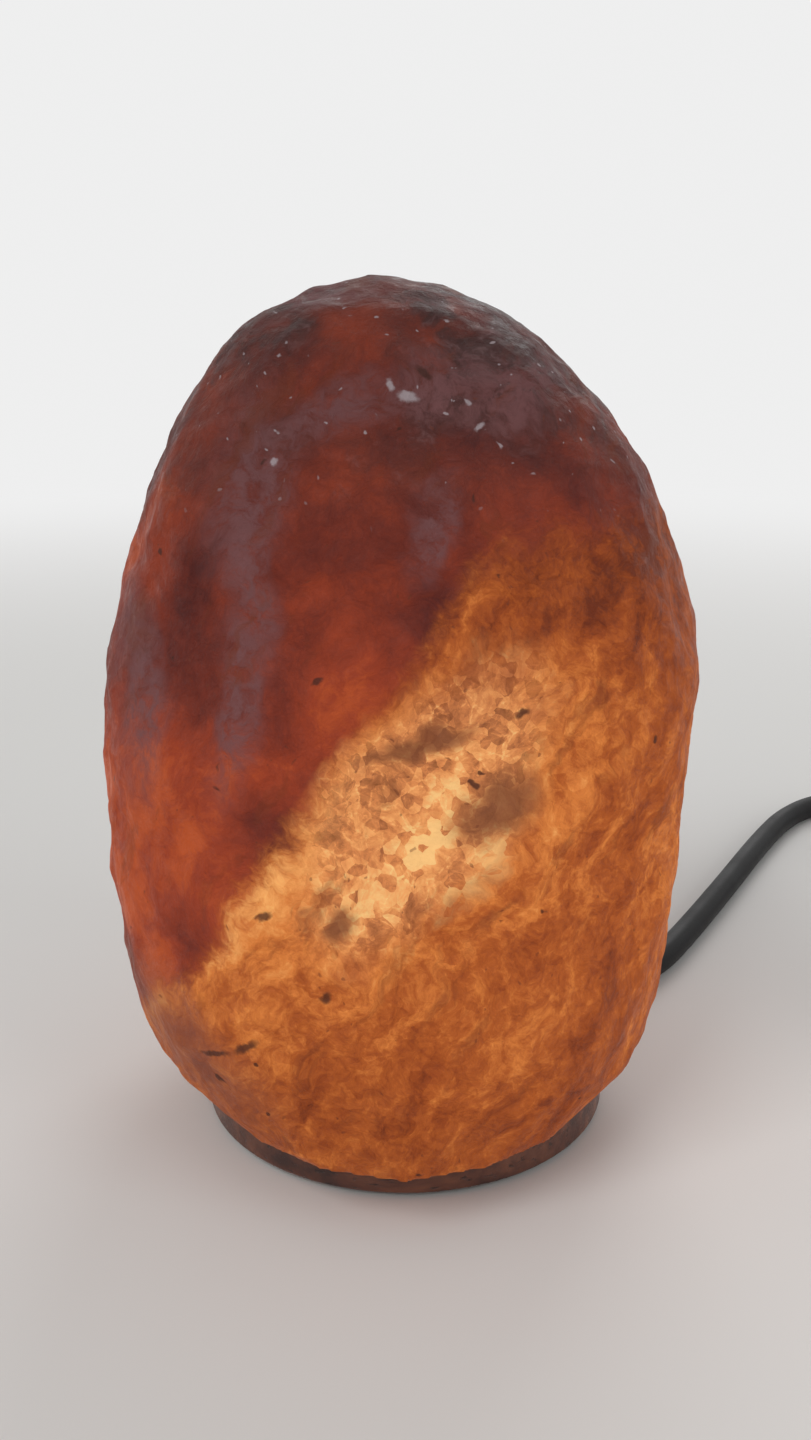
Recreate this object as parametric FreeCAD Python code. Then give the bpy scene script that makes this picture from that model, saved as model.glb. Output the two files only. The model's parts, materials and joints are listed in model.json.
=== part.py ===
"""Salt crystal table lamp: a hollowed block of rock salt on a round wooden base.

The frame stands on the table: the origin is on the table top under the bulb's axis,
+Z is up, and the lamp's front faces -Y. Lengths are millimetres and angles are
degrees.
"""
import FreeCAD, Part
import math
import os
import random

V = FreeCAD.Vector
X_AXIS = V(1, 0, 0)
Y_AXIS = V(0, 1, 0)
Z_AXIS = V(0, 0, 1)

# ---------------------------------------------------------------- driving sizes
PAD_HEIGHT = 1.2
BASE_RADIUS = 43.0
BASE_MIDDLE = V(0, -3, 0)         # the base lies a little forward of the lamp hole
BASE_ROUNDING = 0.8
BASE_TOP = 13.5
LAMP_HOLE_RADIUS = 20.0          # the same hole runs through the base and the salt
CAVITY_WALL_TOP = 88.0
CAVITY_TOP = 100.0

# The salt block: height, its reach left, right, front and back, and the exponent
# of its plan, which is 2 for an ellipse and more for a squarer outline.
SALT_LEVELS = [
    (13.5, 49.0, 47.0, 60.5, 47.0, 1.8),
    (20.0, 55.0, 52.5, 60.8, 51.0, 1.95),
    (31.0, 58.4, 55.0, 60.6, 54.5, 2.1),
    (44.0, 61.0, 55.8, 60.0, 57.0, 2.1),
    (57.0, 62.6, 56.4, 59.2, 58.8, 2.1),
    (70.0, 62.8, 57.4, 58.0, 59.2, 2.1),
    (83.0, 62.4, 59.6, 56.5, 58.2, 2.1),
    (96.0, 62.0, 61.9, 54.0, 55.8, 2.1),
    (109.0, 59.8, 58.0, 50.5, 52.6, 2.1),
    (121.0, 55.2, 53.4, 46.5, 48.8, 2.1),
    (132.0, 52.0, 49.6, 42.0, 44.2, 2.1),
    (142.0, 47.0, 43.6, 37.0, 39.0, 2.1),
    (151.0, 42.4, 36.4, 31.0, 33.0, 2.1),
    (159.0, 35.8, 28.8, 24.5, 26.6, 2.1),
    (166.0, 28.0, 18.0, 17.0, 18.5, 2.1),
    (170.0, 18.5, 7.0, 9.0, 9.5, 2.1),
]
SALT_PEAK = V(-7, -1, 172.4)
SALT_SIDES = 24
SALT_CHIP = 0.8                  # depth of the hewn facets
SALT_SEED = 7

# Lumps (out) and hollows (in) of the block: azimuth, height, half width, how far out.
SALT_LUMPS = [
    (238, 133, 13, -1.8), (215, 134, 11, 1.8), (212, 149, 9, -1.6), (222, 158, 10, 1.6),
    (255, 150, 12, -1.6), (274, 128, 13, 1.8), (300, 139, 12, -1.8), (322, 131, 11, 1.4),
    (274, 84, 15, -2.0), (282, 60, 14, 1.8), (262, 104, 13, 1.6), (273, 36, 13, -1.8),
    (240, 75, 14, -1.8), (222, 100, 13, -1.8), (205, 82, 13, 1.8), (225, 46, 13, 1.6),
    (300, 100, 13, -1.6), (318, 110, 12, 1.8), (312, 72, 13, -2.0), (330, 60, 12, 1.6),
    (303, 40, 12, 1.4), (350, 92, 13, -1.6), (5, 118, 14, 1.8), (8, 66, 14, 2.0),
    (30, 95, 14, -2.0), (30, 44, 14, -1.8), (48, 130, 13, 1.8), (60, 72, 14, 2.0),
    (78, 104, 14, -2.0), (85, 48, 13, 1.6), (100, 136, 13, -1.8), (105, 80, 14, 1.8),
    (126, 112, 14, 1.8), (130, 56, 14, -2.0), (150, 84, 14, -1.8), (155, 138, 12, 1.6),
    (160, 40, 13, 1.8), (180, 108, 14, -1.8), (182, 62, 13, -1.4), (70, 152, 11, 1.4),
]

CORD_RADIUS = 3.5
CORD_AZIMUTH = 35.0              # the way the cord leaves under the base
CORD_REST = 3.55                 # height of the cord's middle where it lies
WIRE_GAP = 0.5                   # from a cord's cut end to where its cores are drawn from
INLET_HEIGHT = 5.9               # height of the cord's middle in the holder
GROOVE_HALF_WIDTH = 5.2
GROOVE_TOP = 11.0

WALL_PLUG_RADIUS = 3.0
WALL_PLUG_TOP = 38.0
SCREW_RADIUS = 2.0
SCREW_HEAD_RADIUS = 4.0
SCREW_HEAD_LOW = 3.0
SCREW_TIP = 33.0
SCREW_CIRCLE = 31.5
SCREW_AZIMUTHS = (125.0, 215.0, 305.0)
PAD_CIRCLE = 34.5
PAD_AZIMUTHS = (80.0, 170.0, 260.0, 350.0)
PAD_RADIUS = 6.0

CAP_RADIUS = 17.0
CAP_LOW = 1.0
CAP_HIGH = 13.0
HOLDER_RADIUS = 14.0
HOLDER_HIGH = 45.0
HOLDER_WALL = 1.9
BOOT_START = 17.0
BOOT_TIP = 38.0

THREAD_RADIUS = 6.8              # plain cylinder at the screw cap's crest
RUNNING_GAP = 0.05
CAP_WALL = 2.0
CAP_FLOOR = 1.2
GRIP_ALONG = 7.0                 # the cord grip's middle, out from the lamp's axis
GRIP_SCREW_ACROSS = 6.2
GRIP_BOSS_RADIUS = 2.3
CORD_INNER_END = 3.0
TERMINAL_ALONG = -5.0
TERMINAL_ACROSS = 5.0
TERMINAL_LOW = 12.5
TERMINAL_TOP = 17.0
RIVETS = {1: V(0, 0, 0), -1: V(-5, -3, 0)}    # of the live and the neutral terminal
RIVET_RADIUS = 1.0
RIVET_HOLE = 1.1
INSERT_LOW = 17.5
INSERT_FLOOR = 19.6
INSERT_RADIUS = HOLDER_RADIUS - HOLDER_WALL - 0.1
SHELL_OUTER = THREAD_RADIUS + RUNNING_GAP + 0.6
SHELL_HIGH = 41.0
MOUTH_RADIUS = 9.6
MOUTH_LOW = 41.5
NOSE_RADIUS = 11.0
NOSE_LOW = 43.0

CLIP_LOW = 29.0
CLIP_HIGH = 36.0
CLIP_MIDDLE = (CLIP_LOW + CLIP_HIGH) / 2
CLIP_THICK = 0.5
WING_REACH = LAMP_HOLE_RADIUS - 0.3

BULB_LOW = 21.0                  # underside of the bulb's contact pip
BULB_RADIUS = 13.0
BULB_HIGH = 78.0
INSULATOR_LOW = BULB_LOW + 1.2
CAP_METAL_LOW = INSULATOR_LOW + 3.0
FLARE_LOW = 42.0
CAP_METAL_HIGH = 46.0
GLASS_WALL = 0.8
NECK_RADIUS = 6.0
STEM_TOP = 57.0
FILAMENT_HEIGHT = 64.0

SWITCH_AT = V(282, 59, 0)
SWITCH_HALF_WIDTH = 13.0
SWITCH_HALF_LENGTH = 31.0
SWITCH_HEIGHT = 18.0
SWITCH_PARTING = 9.0
SWITCH_WALL = 1.8
NOZZLE_END = 39.0
ROCKER_PIVOT = 15.2
ROCKER_TILT = 8.0                # each way from level
LEVER_PIVOT = 6.0
LEVER_AXLE_RADIUS = 0.6
LEVER_TILT = 4.8
CLAMP_ALONG = 25.0
CLAMP_ACROSS = 6.5
CASE_SCREWS = (V(8.4, 18, 0), V(-8.4, -18, 0))
CORD_IN_SWITCH = 21.5
WINDOW_HALF_WIDTH = 5.9
WINDOW_HALF_LENGTH = 10.3
LUG_LOW = 13.0
TERMINAL_BLOCK_HIGH = 7.5
STEM_LOW = 9.6
PLUNGER_RADIUS = 1.2
PLUNGER_TIP = 7.15

PLUG_AT = V(193, 124, 6.85)      # middle of the joint between plug body and relief
PLUG_LENGTH = 36.0
PLUG_HALF_WIDTH = 17.65
PLUG_HEIGHT = 13.7
PIN_RADIUS = 2.0
PIN_NECK_RADIUS = 1.5
PIN_SLEEVE_RADIUS = 1.8
PIN_LENGTH = 19.0
PIN_SLEEVE_LENGTH = 10.0
PIN_SPACING = 18.6
PIN_TILT = 1.66                  # the pins lean towards each other
RELIEF_LENGTH = 28.0

COIL_CENTRE = V(168, 15, 0)
COIL_OUTER_RADIUS = 45.0
COIL_PITCH = 7.8                 # from one turn to the next, across and up
COIL_TURNS = 2                   # turns in each of the two layers
COIL_LAYERS_APART = 7.6


# ------------------------------------------------------------------ basic shapes
def disc(radius, low, high, x=0.0, y=0.0):
    """Upright cylinder between two heights."""
    return Part.makeCylinder(radius, high - low, V(x, y, low))


def ring(outer, inner, low, high):
    """Upright tube about Z between two heights."""
    return disc(outer, low, high).cut(disc(inner, low, high))


def block(x_low, x_high, y_low, y_high, z_low, z_high):
    """Box between two corners."""
    size = V(x_high - x_low, y_high - y_low, z_high - z_low)
    return Part.makeBox(size.x, size.y, size.z, V(x_low, y_low, z_low))


def cylinder_between(start, end, radius):
    """Round bar from one point to another."""
    return Part.makeCylinder(radius, (end - start).Length, start, end - start)


def revolved(profile):
    """Solid of revolution about Z from (radius, height) corners."""
    corners = [V(radius, 0, height) for radius, height in profile]
    outline = Part.makePolygon(corners + corners[:1])
    return Part.Face(outline).revolve(V(), Z_AXIS, 360)


def on_circle(radius, azimuth, height=0.0):
    """Point at a radius and azimuth about the lamp's axis."""
    angle = math.radians(azimuth)
    return V(radius * math.cos(angle), radius * math.sin(angle), height)


def joined(first, *others):
    """One solid from several that overlap."""
    return first.fuse(list(others)).removeSplitter()


def towards_cord(shape):
    """Turn a piece drawn with its cord along +X to the cord's azimuth."""
    shape.rotate(V(), Z_AXIS, CORD_AZIMUTH)
    return shape


def save(shape, name):
    """Write one node, which may be a group of separate solids."""
    if isinstance(shape, list):
        shape = Part.Compound(shape)
    volume = sum(solid.Volume for solid in shape.Solids)
    state = "" if shape.isValid() and shape.Solids else "  NOT VALID"
    print(f"{name:18s} {len(shape.Solids):2d} solid(s) {volume:11.1f} mm3{state}")
    shape.exportStep(f"parts/{name}.step")


# ------------------------------------------------------------------- bent tubes
def arc_corner(before, corner, after):
    """Start, middle and end of the arc that rounds a corner, and its radius."""
    way_in = (corner - before).normalize()
    way_out = (after - corner).normalize()
    half_turn = way_in.getAngle(way_out) / 2
    reach = 0.45 * min((corner - before).Length, (after - corner).Length)
    radius = reach / math.tan(half_turn)
    inward = (way_out - way_in).normalize()
    centre = corner + inward * (radius / math.cos(half_turn))
    return corner - way_in * reach, centre - inward * radius, corner + way_out * reach, radius


def rounded_path(points):
    """Straight runs joined by tangent arcs, and the arcs' radii."""
    edges = []
    radii = []
    here = points[0]
    for before, corner, after in zip(points, points[1:], points[2:]):
        start, middle, end, radius = arc_corner(before, corner, after)
        edges.append(Part.LineSegment(here, start).toShape())
        edges.append(Part.Arc(start, middle, end).toShape())
        radii.append(radius)
        here = end
    edges.append(Part.LineSegment(here, points[-1]).toShape())
    return Part.Wire(edges), radii


def swept_round(path, start, way, radius):
    """Round bar along a smooth wire."""
    section = Part.Wire(Part.makeCircle(radius, start, way))
    return path.makePipeShell([section], True, False)


def bent_tube(points, radius, name):
    """Tube along a hand-chosen route, with its length and tightest bend printed."""
    path, radii = rounded_path(points)
    solid = swept_round(path, points[0], points[1] - points[0], radius)
    error = solid.Volume / (math.pi * radius ** 2 * path.Length) - 1
    bends = " ".join(f"{bend:.0f}" for bend in radii)
    print(f"{name}: length {path.Length:.1f}, radii {bends}, volume error {error:.2%}")
    return solid


# ----------------------------------------------------------------- salt and base
def lumps_out(azimuth, height, reach):
    """How far the lumps and hollows push the block's side out at one place."""
    out = 0.0
    for lump_azimuth, lump_height, half_width, depth in SALT_LUMPS:
        turn = (azimuth - lump_azimuth + 180) % 360 - 180
        away = math.hypot(math.radians(turn) * reach, height - lump_height)
        out += depth * math.exp(-(away / half_width) ** 2)
    return out


def plan_reach(way, level):
    """Distance from the axis to the rounded plan of one level, in one direction."""
    _, left, right, front, back, power = level
    across = abs(way.x) / (right if way.x > 0 else left)
    along = abs(way.y) / (back if way.y > 0 else front)
    return (across ** power + along ** power) ** (-1 / power)


def salt_ring(level, first_side, chips):
    """Corners of the salt's outline at one height."""
    height = level[0]
    corners = []
    for side in range(SALT_SIDES):
        azimuth = 360 * (side + first_side) / SALT_SIDES
        way = on_circle(1, azimuth)
        reach = plan_reach(way, level)
        reach += lumps_out(azimuth, height, reach) + chips.uniform(-SALT_CHIP, 0.0)
        corners.append(way * reach + V(0, 0, height))
    return corners


def triangle(first, second, third):
    """Flat three-sided face."""
    return Part.Face(Part.makePolygon([first, second, third, first]))


def salt_block():
    """Rough-hewn block, closed by a flat sawn bottom and a blunt peak."""
    chips = random.Random(SALT_SEED)
    rings = []
    for count, level in enumerate(SALT_LEVELS):
        rings.append(salt_ring(level, 0.5 * (count % 2), chips))
    faces = [Part.Face(Part.makePolygon(rings[0] + rings[0][:1]))]
    for count, (lower, upper) in enumerate(zip(rings, rings[1:])):
        for side in range(SALT_SIDES):
            beside = (side + 1) % SALT_SIDES
            if count % 2 == 0:
                faces.append(triangle(lower[side], lower[beside], upper[side]))
                faces.append(triangle(lower[beside], upper[beside], upper[side]))
            else:
                faces.append(triangle(lower[side], lower[beside], upper[beside]))
                faces.append(triangle(lower[side], upper[beside], upper[side]))
    for side in range(SALT_SIDES):
        beside = (side + 1) % SALT_SIDES
        faces.append(triangle(rings[-1][side], rings[-1][beside], SALT_PEAK))
    return Part.makeSolid(Part.makeShell(faces))


def lamp_cavity():
    """Drilled hole in the salt, with a rounded end."""
    low = V(0, 0, BASE_TOP - 1)
    foot = V(LAMP_HOLE_RADIUS, 0, BASE_TOP - 1)
    shoulder = V(LAMP_HOLE_RADIUS, 0, CAVITY_WALL_TOP)
    top = V(0, 0, CAVITY_TOP)
    rise = CAVITY_TOP - CAVITY_WALL_TOP
    dome_radius = (LAMP_HOLE_RADIUS ** 2 + rise ** 2) / (2 * rise)
    dome_centre = V(0, 0, CAVITY_TOP - dome_radius)
    between = ((shoulder - dome_centre).normalize() + Z_AXIS).normalize()
    edges = [
        Part.LineSegment(low, foot).toShape(),
        Part.LineSegment(foot, shoulder).toShape(),
        Part.Arc(shoulder, dome_centre + between * dome_radius, top).toShape(),
        Part.LineSegment(top, low).toShape(),
    ]
    return Part.Face(Part.Wire(edges)).revolve(V(), Z_AXIS, 360)


def screw_places():
    """Middles of the three screws that hold the salt to its base."""
    return [on_circle(SCREW_CIRCLE, azimuth) for azimuth in SCREW_AZIMUTHS]


def salt_crystal():
    """The salt block with its lamp hole and three plug holes."""
    holes = [lamp_cavity()]
    for place in screw_places():
        holes.append(disc(WALL_PLUG_RADIUS, BASE_TOP - 1, WALL_PLUG_TOP + 1, place.x, place.y))
    return salt_block().cut(holes)


def wooden_base():
    """Turned disc with the lamp hole, the cord groove and three screw holes."""
    disc_of_wood = disc(BASE_RADIUS, PAD_HEIGHT, BASE_TOP, BASE_MIDDLE.x, BASE_MIDDLE.y)
    rims = [edge for edge in disc_of_wood.Edges if edge.Length > 2 * BASE_RADIUS]
    disc_of_wood = disc_of_wood.makeFillet(BASE_ROUNDING, rims)
    slot = block(0, BASE_RADIUS + 5, -GROOVE_HALF_WIDTH, GROOVE_HALF_WIDTH, 0, GROOVE_TOP)
    cuts = [disc(LAMP_HOLE_RADIUS, 0, BASE_TOP + 1), towards_cord(slot)]
    head_slope = SCREW_HEAD_RADIUS - SCREW_RADIUS
    for place in screw_places():
        cuts.append(disc(SCREW_RADIUS + 0.2, 0, BASE_TOP + 1, place.x, place.y))
        cuts.append(disc(SCREW_HEAD_RADIUS + 0.2, 0, SCREW_HEAD_LOW + 0.5, place.x, place.y))
        cuts.append(Part.makeCone(
            SCREW_HEAD_RADIUS + 0.2, SCREW_RADIUS + 0.2, head_slope,
            V(place.x, place.y, SCREW_HEAD_LOW + 0.5)))
    return disc_of_wood.cut(cuts)


def base_screw():
    """Countersunk wood screw on the Z axis, its tip up, with a cross recess."""
    head_slope = SCREW_HEAD_RADIUS - SCREW_RADIUS
    slope_low = SCREW_HEAD_LOW + 0.4
    body = revolved([
        (0, SCREW_HEAD_LOW), (SCREW_HEAD_RADIUS, SCREW_HEAD_LOW),
        (SCREW_HEAD_RADIUS, slope_low), (SCREW_RADIUS, slope_low + head_slope),
        (SCREW_RADIUS, SCREW_TIP - 4), (0, SCREW_TIP)])
    recess_low = SCREW_HEAD_LOW - 1
    recess_high = SCREW_HEAD_LOW + 1.2
    return body.cut([
        block(-2.2, 2.2, -0.5, 0.5, recess_low, recess_high),
        block(-0.5, 0.5, -2.2, 2.2, recess_low, recess_high)])


def wall_plug():
    """Nylon plug on the Z axis, hollow for the screw."""
    outside = disc(WALL_PLUG_RADIUS - 0.02, BASE_TOP, WALL_PLUG_TOP)
    return outside.cut(disc(SCREW_RADIUS + 0.02, BASE_TOP, WALL_PLUG_TOP - 2))


def copies(shape, places):
    """The same piece at several places, as separate solids."""
    moved = []
    for place in places:
        piece = shape.copy()
        piece.translate(place)
        moved.append(piece)
    return moved


def foot_pads():
    """Round felt pads under the base."""
    places = [BASE_MIDDLE + on_circle(PAD_CIRCLE, azimuth) for azimuth in PAD_AZIMUTHS]
    return copies(disc(PAD_RADIUS, 0, PAD_HEIGHT), places)


# ------------------------------------------------------------------- lamp holder
# Drawn with the cord inlet along +X, then turned to the cord's azimuth.
def holder_cap():
    """Bottom cup with the side inlet for the cord and two posts for its grip."""
    inside = CAP_RADIUS - CAP_WALL
    cup = disc(CAP_RADIUS, CAP_LOW, CAP_HIGH)
    cup = cup.cut(disc(inside, CAP_LOW + CAP_FLOOR, CAP_HIGH))
    posts = []
    for side in (-1, 1):
        posts.append(disc(GRIP_BOSS_RADIUS, CAP_LOW, 9.2, GRIP_ALONG, side * GRIP_SCREW_ACROSS))
    cup = joined(cup, *posts)
    pilots = []
    for side in (-1, 1):
        pilots.append(disc(1.1, 3.5, 9.2, GRIP_ALONG, side * GRIP_SCREW_ACROSS))
    inlet = cylinder_between(V(12, 0, INLET_HEIGHT), V(20, 0, INLET_HEIGHT), CORD_RADIUS + 0.1)
    return cup.cut(pilots + [inlet])


def holder_body():
    """Outer sleeve: a collar that closes the cap, and a lip over the insert."""
    inside = HOLDER_RADIUS - HOLDER_WALL
    sleeve = revolved([
        (inside, 11.5), (CAP_RADIUS - CAP_WALL - 0.1, 11.5),
        (CAP_RADIUS - CAP_WALL - 0.1, CAP_HIGH), (CAP_RADIUS, CAP_HIGH),
        (CAP_RADIUS, CAP_HIGH + 2.5), (HOLDER_RADIUS, CAP_HIGH + 4),
        (HOLDER_RADIUS, HOLDER_HIGH - 1), (HOLDER_RADIUS - 1, HOLDER_HIGH),
        (NOSE_RADIUS + 0.1, HOLDER_HIGH), (NOSE_RADIUS + 0.1, NOSE_LOW), (inside, NOSE_LOW)])
    pilots = []
    for side in (-1, 1):
        start = V(0, side * (inside - 0.5), CLIP_MIDDLE)
        pilots.append(cylinder_between(start, V(0, side * (HOLDER_RADIUS + 1), CLIP_MIDDLE), 1.05))
    return sleeve.cut(pilots)


def holder_insert():
    """Inner cup that carries the screw shell, the contact and the terminals."""
    cup = revolved([
        (0, INSERT_LOW), (INSERT_RADIUS, INSERT_LOW), (INSERT_RADIUS, NOSE_LOW - 0.1),
        (NOSE_RADIUS, NOSE_LOW - 0.1), (NOSE_RADIUS, HOLDER_HIGH - 0.5),
        (MOUTH_RADIUS, HOLDER_HIGH - 0.5), (MOUTH_RADIUS, MOUTH_LOW),
        (SHELL_OUTER + 0.1, MOUTH_LOW), (SHELL_OUTER + 0.1, INSERT_FLOOR), (0, INSERT_FLOOR)])
    rivets = [disc(RIVET_HOLE, INSERT_LOW - 1, INSERT_FLOOR + 1, place.x, place.y)
              for place in RIVETS.values()]
    return cup.cut(rivets)


def screw_shell():
    """Brass sleeve that the bulb's cap screws into, with a base flange and a rivet."""
    inner = THREAD_RADIUS + RUNNING_GAP
    sleeve = revolved([
        (3.4, INSERT_FLOOR), (SHELL_OUTER, INSERT_FLOOR), (SHELL_OUTER, SHELL_HIGH),
        (inner, SHELL_HIGH), (inner, INSERT_FLOOR + 0.6), (3.4, INSERT_FLOOR + 0.6)])
    rivet = disc(RIVET_RADIUS, TERMINAL_TOP, INSERT_FLOOR + 0.3, RIVETS[-1].x, RIVETS[-1].y)
    return joined(sleeve, rivet)


def centre_contact():
    """Sprung brass tongue under the bulb's pip, with its rivet."""
    tongue = block(-2.6, 2.6, -1.4, 1.4, BULB_LOW - 0.75, BULB_LOW - 0.25)
    foot = disc(1.9, INSERT_FLOOR, BULB_LOW - 0.6)
    rivet = disc(RIVET_RADIUS, TERMINAL_TOP, INSERT_FLOOR + 0.2)
    return joined(tongue, foot, rivet)


def terminals():
    """Two brass clamp blocks under the insert, each with a strap to its rivet."""
    pieces = []
    for side, rivet_at in RIVETS.items():
        across = side * TERMINAL_ACROSS
        body = block(TERMINAL_ALONG - 2.5, TERMINAL_ALONG + 2.5, across - 2.4, across + 2.4,
                     TERMINAL_LOW, TERMINAL_TOP)
        strap_y = sorted((rivet_at.y - 1.8 * side, across))
        strap = block(TERMINAL_ALONG - 1.8, rivet_at.x + 1.8, strap_y[0], strap_y[1],
                      TERMINAL_TOP, INSERT_LOW)
        rivet_hole = disc(1.02, TERMINAL_LOW, INSERT_LOW, rivet_at.x, rivet_at.y)
        wire_hole = disc(1.15, TERMINAL_LOW - 1, TERMINAL_TOP - 1, TERMINAL_ALONG, across)
        screw_hole = cylinder_between(
            V(TERMINAL_ALONG - 3, across, 14.8), V(TERMINAL_ALONG, across, 14.8), 0.82)
        pieces.append(joined(body, strap).cut([rivet_hole, wire_hole, screw_hole]))
    return pieces


def terminal_screws():
    """One small screw in each clamp block, bearing on the wire."""
    pieces = []
    for side in (-1, 1):
        across = side * TERMINAL_ACROSS
        head = cylinder_between(
            V(TERMINAL_ALONG - 3.7, across, 14.8), V(TERMINAL_ALONG - 2.5, across, 14.8), 1.5)
        shank = cylinder_between(
            V(TERMINAL_ALONG - 2.6, across, 14.8), V(TERMINAL_ALONG - 1.15, across, 14.8), 0.8)
        slot = block(TERMINAL_ALONG - 4, TERMINAL_ALONG - 3.2, across - 2, across + 2, 14.55, 15.05)
        pieces.append(joined(head, shank).cut(slot))
    return pieces


def cord_grip():
    """Bar that two screws press onto the cord inside the cap."""
    bar = block(GRIP_ALONG - 2.5, GRIP_ALONG + 2.5, -8.2, 8.2, 9.4, 11.2)
    holes = []
    for side in (-1, 1):
        holes.append(disc(1.3, 9, 12, GRIP_ALONG, side * GRIP_SCREW_ACROSS))
    return bar.cut(holes)


def grip_screws():
    """The two pan-head screws of the cord grip."""
    screw = joined(disc(1.05, 4.2, 11.4), disc(2.0, 11.2, 12.6))
    screw = screw.cut(block(-2.2, 2.2, -0.3, 0.3, 12.0, 13.0))
    places = [V(GRIP_ALONG, side * GRIP_SCREW_ACROSS, 0) for side in (-1, 1)]
    return copies(screw, places)


def cord_boot():
    """Tapered rubber sleeve where the cord leaves the holder."""
    root = BOOT_START - CAP_WALL + 0.6
    sleeve = revolved([
        (CORD_RADIUS, root), (CORD_RADIUS + 0.1, root), (CORD_RADIUS + 0.1, BOOT_START),
        (4.8, BOOT_START), (4.8, BOOT_START + 3), (4.1, BOOT_TIP), (CORD_RADIUS, BOOT_TIP)])
    grooves = []
    for step in range(4):
        low = BOOT_START + 5 + 4 * step
        grooves.append(ring(6.0, 4.15 - 0.1 * step, low, low + 1.6))
    sleeve = sleeve.cut(grooves)
    sleeve.rotate(V(), Y_AXIS, 90)
    sleeve.translate(V(0, 0, INLET_HEIGHT))
    return sleeve


def cord_inner():
    """The cord's end inside the holder, from the stripped jacket to the boot's tip."""
    return cylinder_between(V(CORD_INNER_END, 0, INLET_HEIGHT), V(BOOT_TIP, 0, INLET_HEIGHT),
                            CORD_RADIUS)


def core_wire(side, name):
    """One insulated core, from the stripped cord up into its clamp block."""
    across = side * TERMINAL_ACROSS
    points = [
        V(CORD_INNER_END - WIRE_GAP, side * 1.7, INLET_HEIGHT),
        V(-1.5, side * 2.4, INLET_HEIGHT - 0.3),
        V(TERMINAL_ALONG, across, INLET_HEIGHT + 2.2),
        V(TERMINAL_ALONG, across, TERMINAL_TOP - 1.2)]
    return bent_tube(points, 1.1, name)


def spring_clip():
    """Spring steel band round the holder with two bowed wings that grip the hole."""
    band_out = HOLDER_RADIUS + 0.05 + CLIP_THICK
    band = ring(band_out, HOLDER_RADIUS + 0.05, CLIP_LOW, CLIP_HIGH)
    root = HOLDER_RADIUS + 0.1
    wings = []
    for side in (-1, 1):
        outline = [
            (root, CLIP_HIGH - 0.2), (band_out + 0.1, CLIP_HIGH - 0.2),
            (WING_REACH - 0.3, 29.0), (WING_REACH - 0.25, 25.5), (band_out + 0.8, 18.5),
            (band_out + 0.3, 18.5), (WING_REACH - 0.8, 25.6), (WING_REACH - 0.85, 28.8),
            (band_out, 34.6), (root, 34.6)]
        corners = [V(side * radius, -3.5, height) for radius, height in outline]
        wings.append(Part.Face(Part.makePolygon(corners + corners[:1])).extrude(V(0, 7, 0)))
    holes = []
    for side in (-1, 1):
        start = V(0, side * 12, CLIP_MIDDLE)
        holes.append(cylinder_between(start, V(0, side * 17, CLIP_MIDDLE), 1.1))
    return joined(band, *wings).cut(holes)


def clip_screws():
    """Two small screws that hold the clip's band to the holder."""
    pieces = []
    band_out = HOLDER_RADIUS + 0.05 + CLIP_THICK
    for side in (-1, 1):
        shank = cylinder_between(V(0, side * (HOLDER_RADIUS - HOLDER_WALL + 0.1), CLIP_MIDDLE),
                                 V(0, side * (band_out + 0.1), CLIP_MIDDLE), 1.0)
        head = cylinder_between(V(0, side * band_out, CLIP_MIDDLE),
                                V(0, side * (band_out + 1.1), CLIP_MIDDLE), 2.0)
        pieces.append(joined(shank, head))
    return pieces


# -------------------------------------------------------------------------- bulb
def bulb_cap():
    """Brass screw cap, plain at its thread's crest and flared at the rim."""
    return revolved([
        (3.6, CAP_METAL_LOW), (THREAD_RADIUS - 1, CAP_METAL_LOW),
        (THREAD_RADIUS, CAP_METAL_LOW + 1), (THREAD_RADIUS, FLARE_LOW - 1),
        (8.4, FLARE_LOW + 1.5), (8.4, CAP_METAL_HIGH), (8.1, CAP_METAL_HIGH),
        (8.1, FLARE_LOW + 1.6), (THREAD_RADIUS - 0.4, FLARE_LOW - 0.8),
        (THREAD_RADIUS - 0.4, CAP_METAL_LOW + 1.2), (THREAD_RADIUS - 1.2, CAP_METAL_LOW + 0.4),
        (3.6, CAP_METAL_LOW + 0.4)])


def cap_insulator():
    """Dark glass button between the cap and the contact pip."""
    return revolved([
        (1.5, INSULATOR_LOW), (2.2, INSULATOR_LOW), (5.6, CAP_METAL_LOW - 0.02),
        (3.55, CAP_METAL_LOW - 0.02), (3.55, CAP_METAL_LOW + 0.4), (1.5, CAP_METAL_LOW + 0.4)])


def cap_contact():
    """Solder pip at the foot of the bulb."""
    return revolved([
        (0, BULB_LOW), (1.3, BULB_LOW + 0.1), (2.1, BULB_LOW + 0.7), (2.1, INSULATOR_LOW - 0.02),
        (1.45, INSULATOR_LOW - 0.02), (1.45, INSULATOR_LOW + 1.5), (0, INSULATOR_LOW + 1.5)])


def glass_profile(inset):
    """Half outline of the bulb's glass, moved inwards by an inset."""
    belly = BULB_HIGH - BULB_RADIUS
    neck = V(NECK_RADIUS - inset, 0, CAP_METAL_LOW + 9)
    shoulder = V(NECK_RADIUS + 0.6 - inset, 0, 46.0)
    widest = V(BULB_RADIUS - inset, 0, belly)
    crown = V(0, 0, BULB_HIGH - inset)
    swell = V(BULB_RADIUS - 2.6 - inset, 0, belly - 9.0)
    round_off = V(0, 0, belly) + V(1, 0, 1).normalize() * (BULB_RADIUS - inset)
    return [
        Part.LineSegment(neck, shoulder).toShape(),
        Part.Arc(shoulder, swell, widest).toShape(),
        Part.Arc(widest, round_off, crown).toShape(),
    ]


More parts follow.
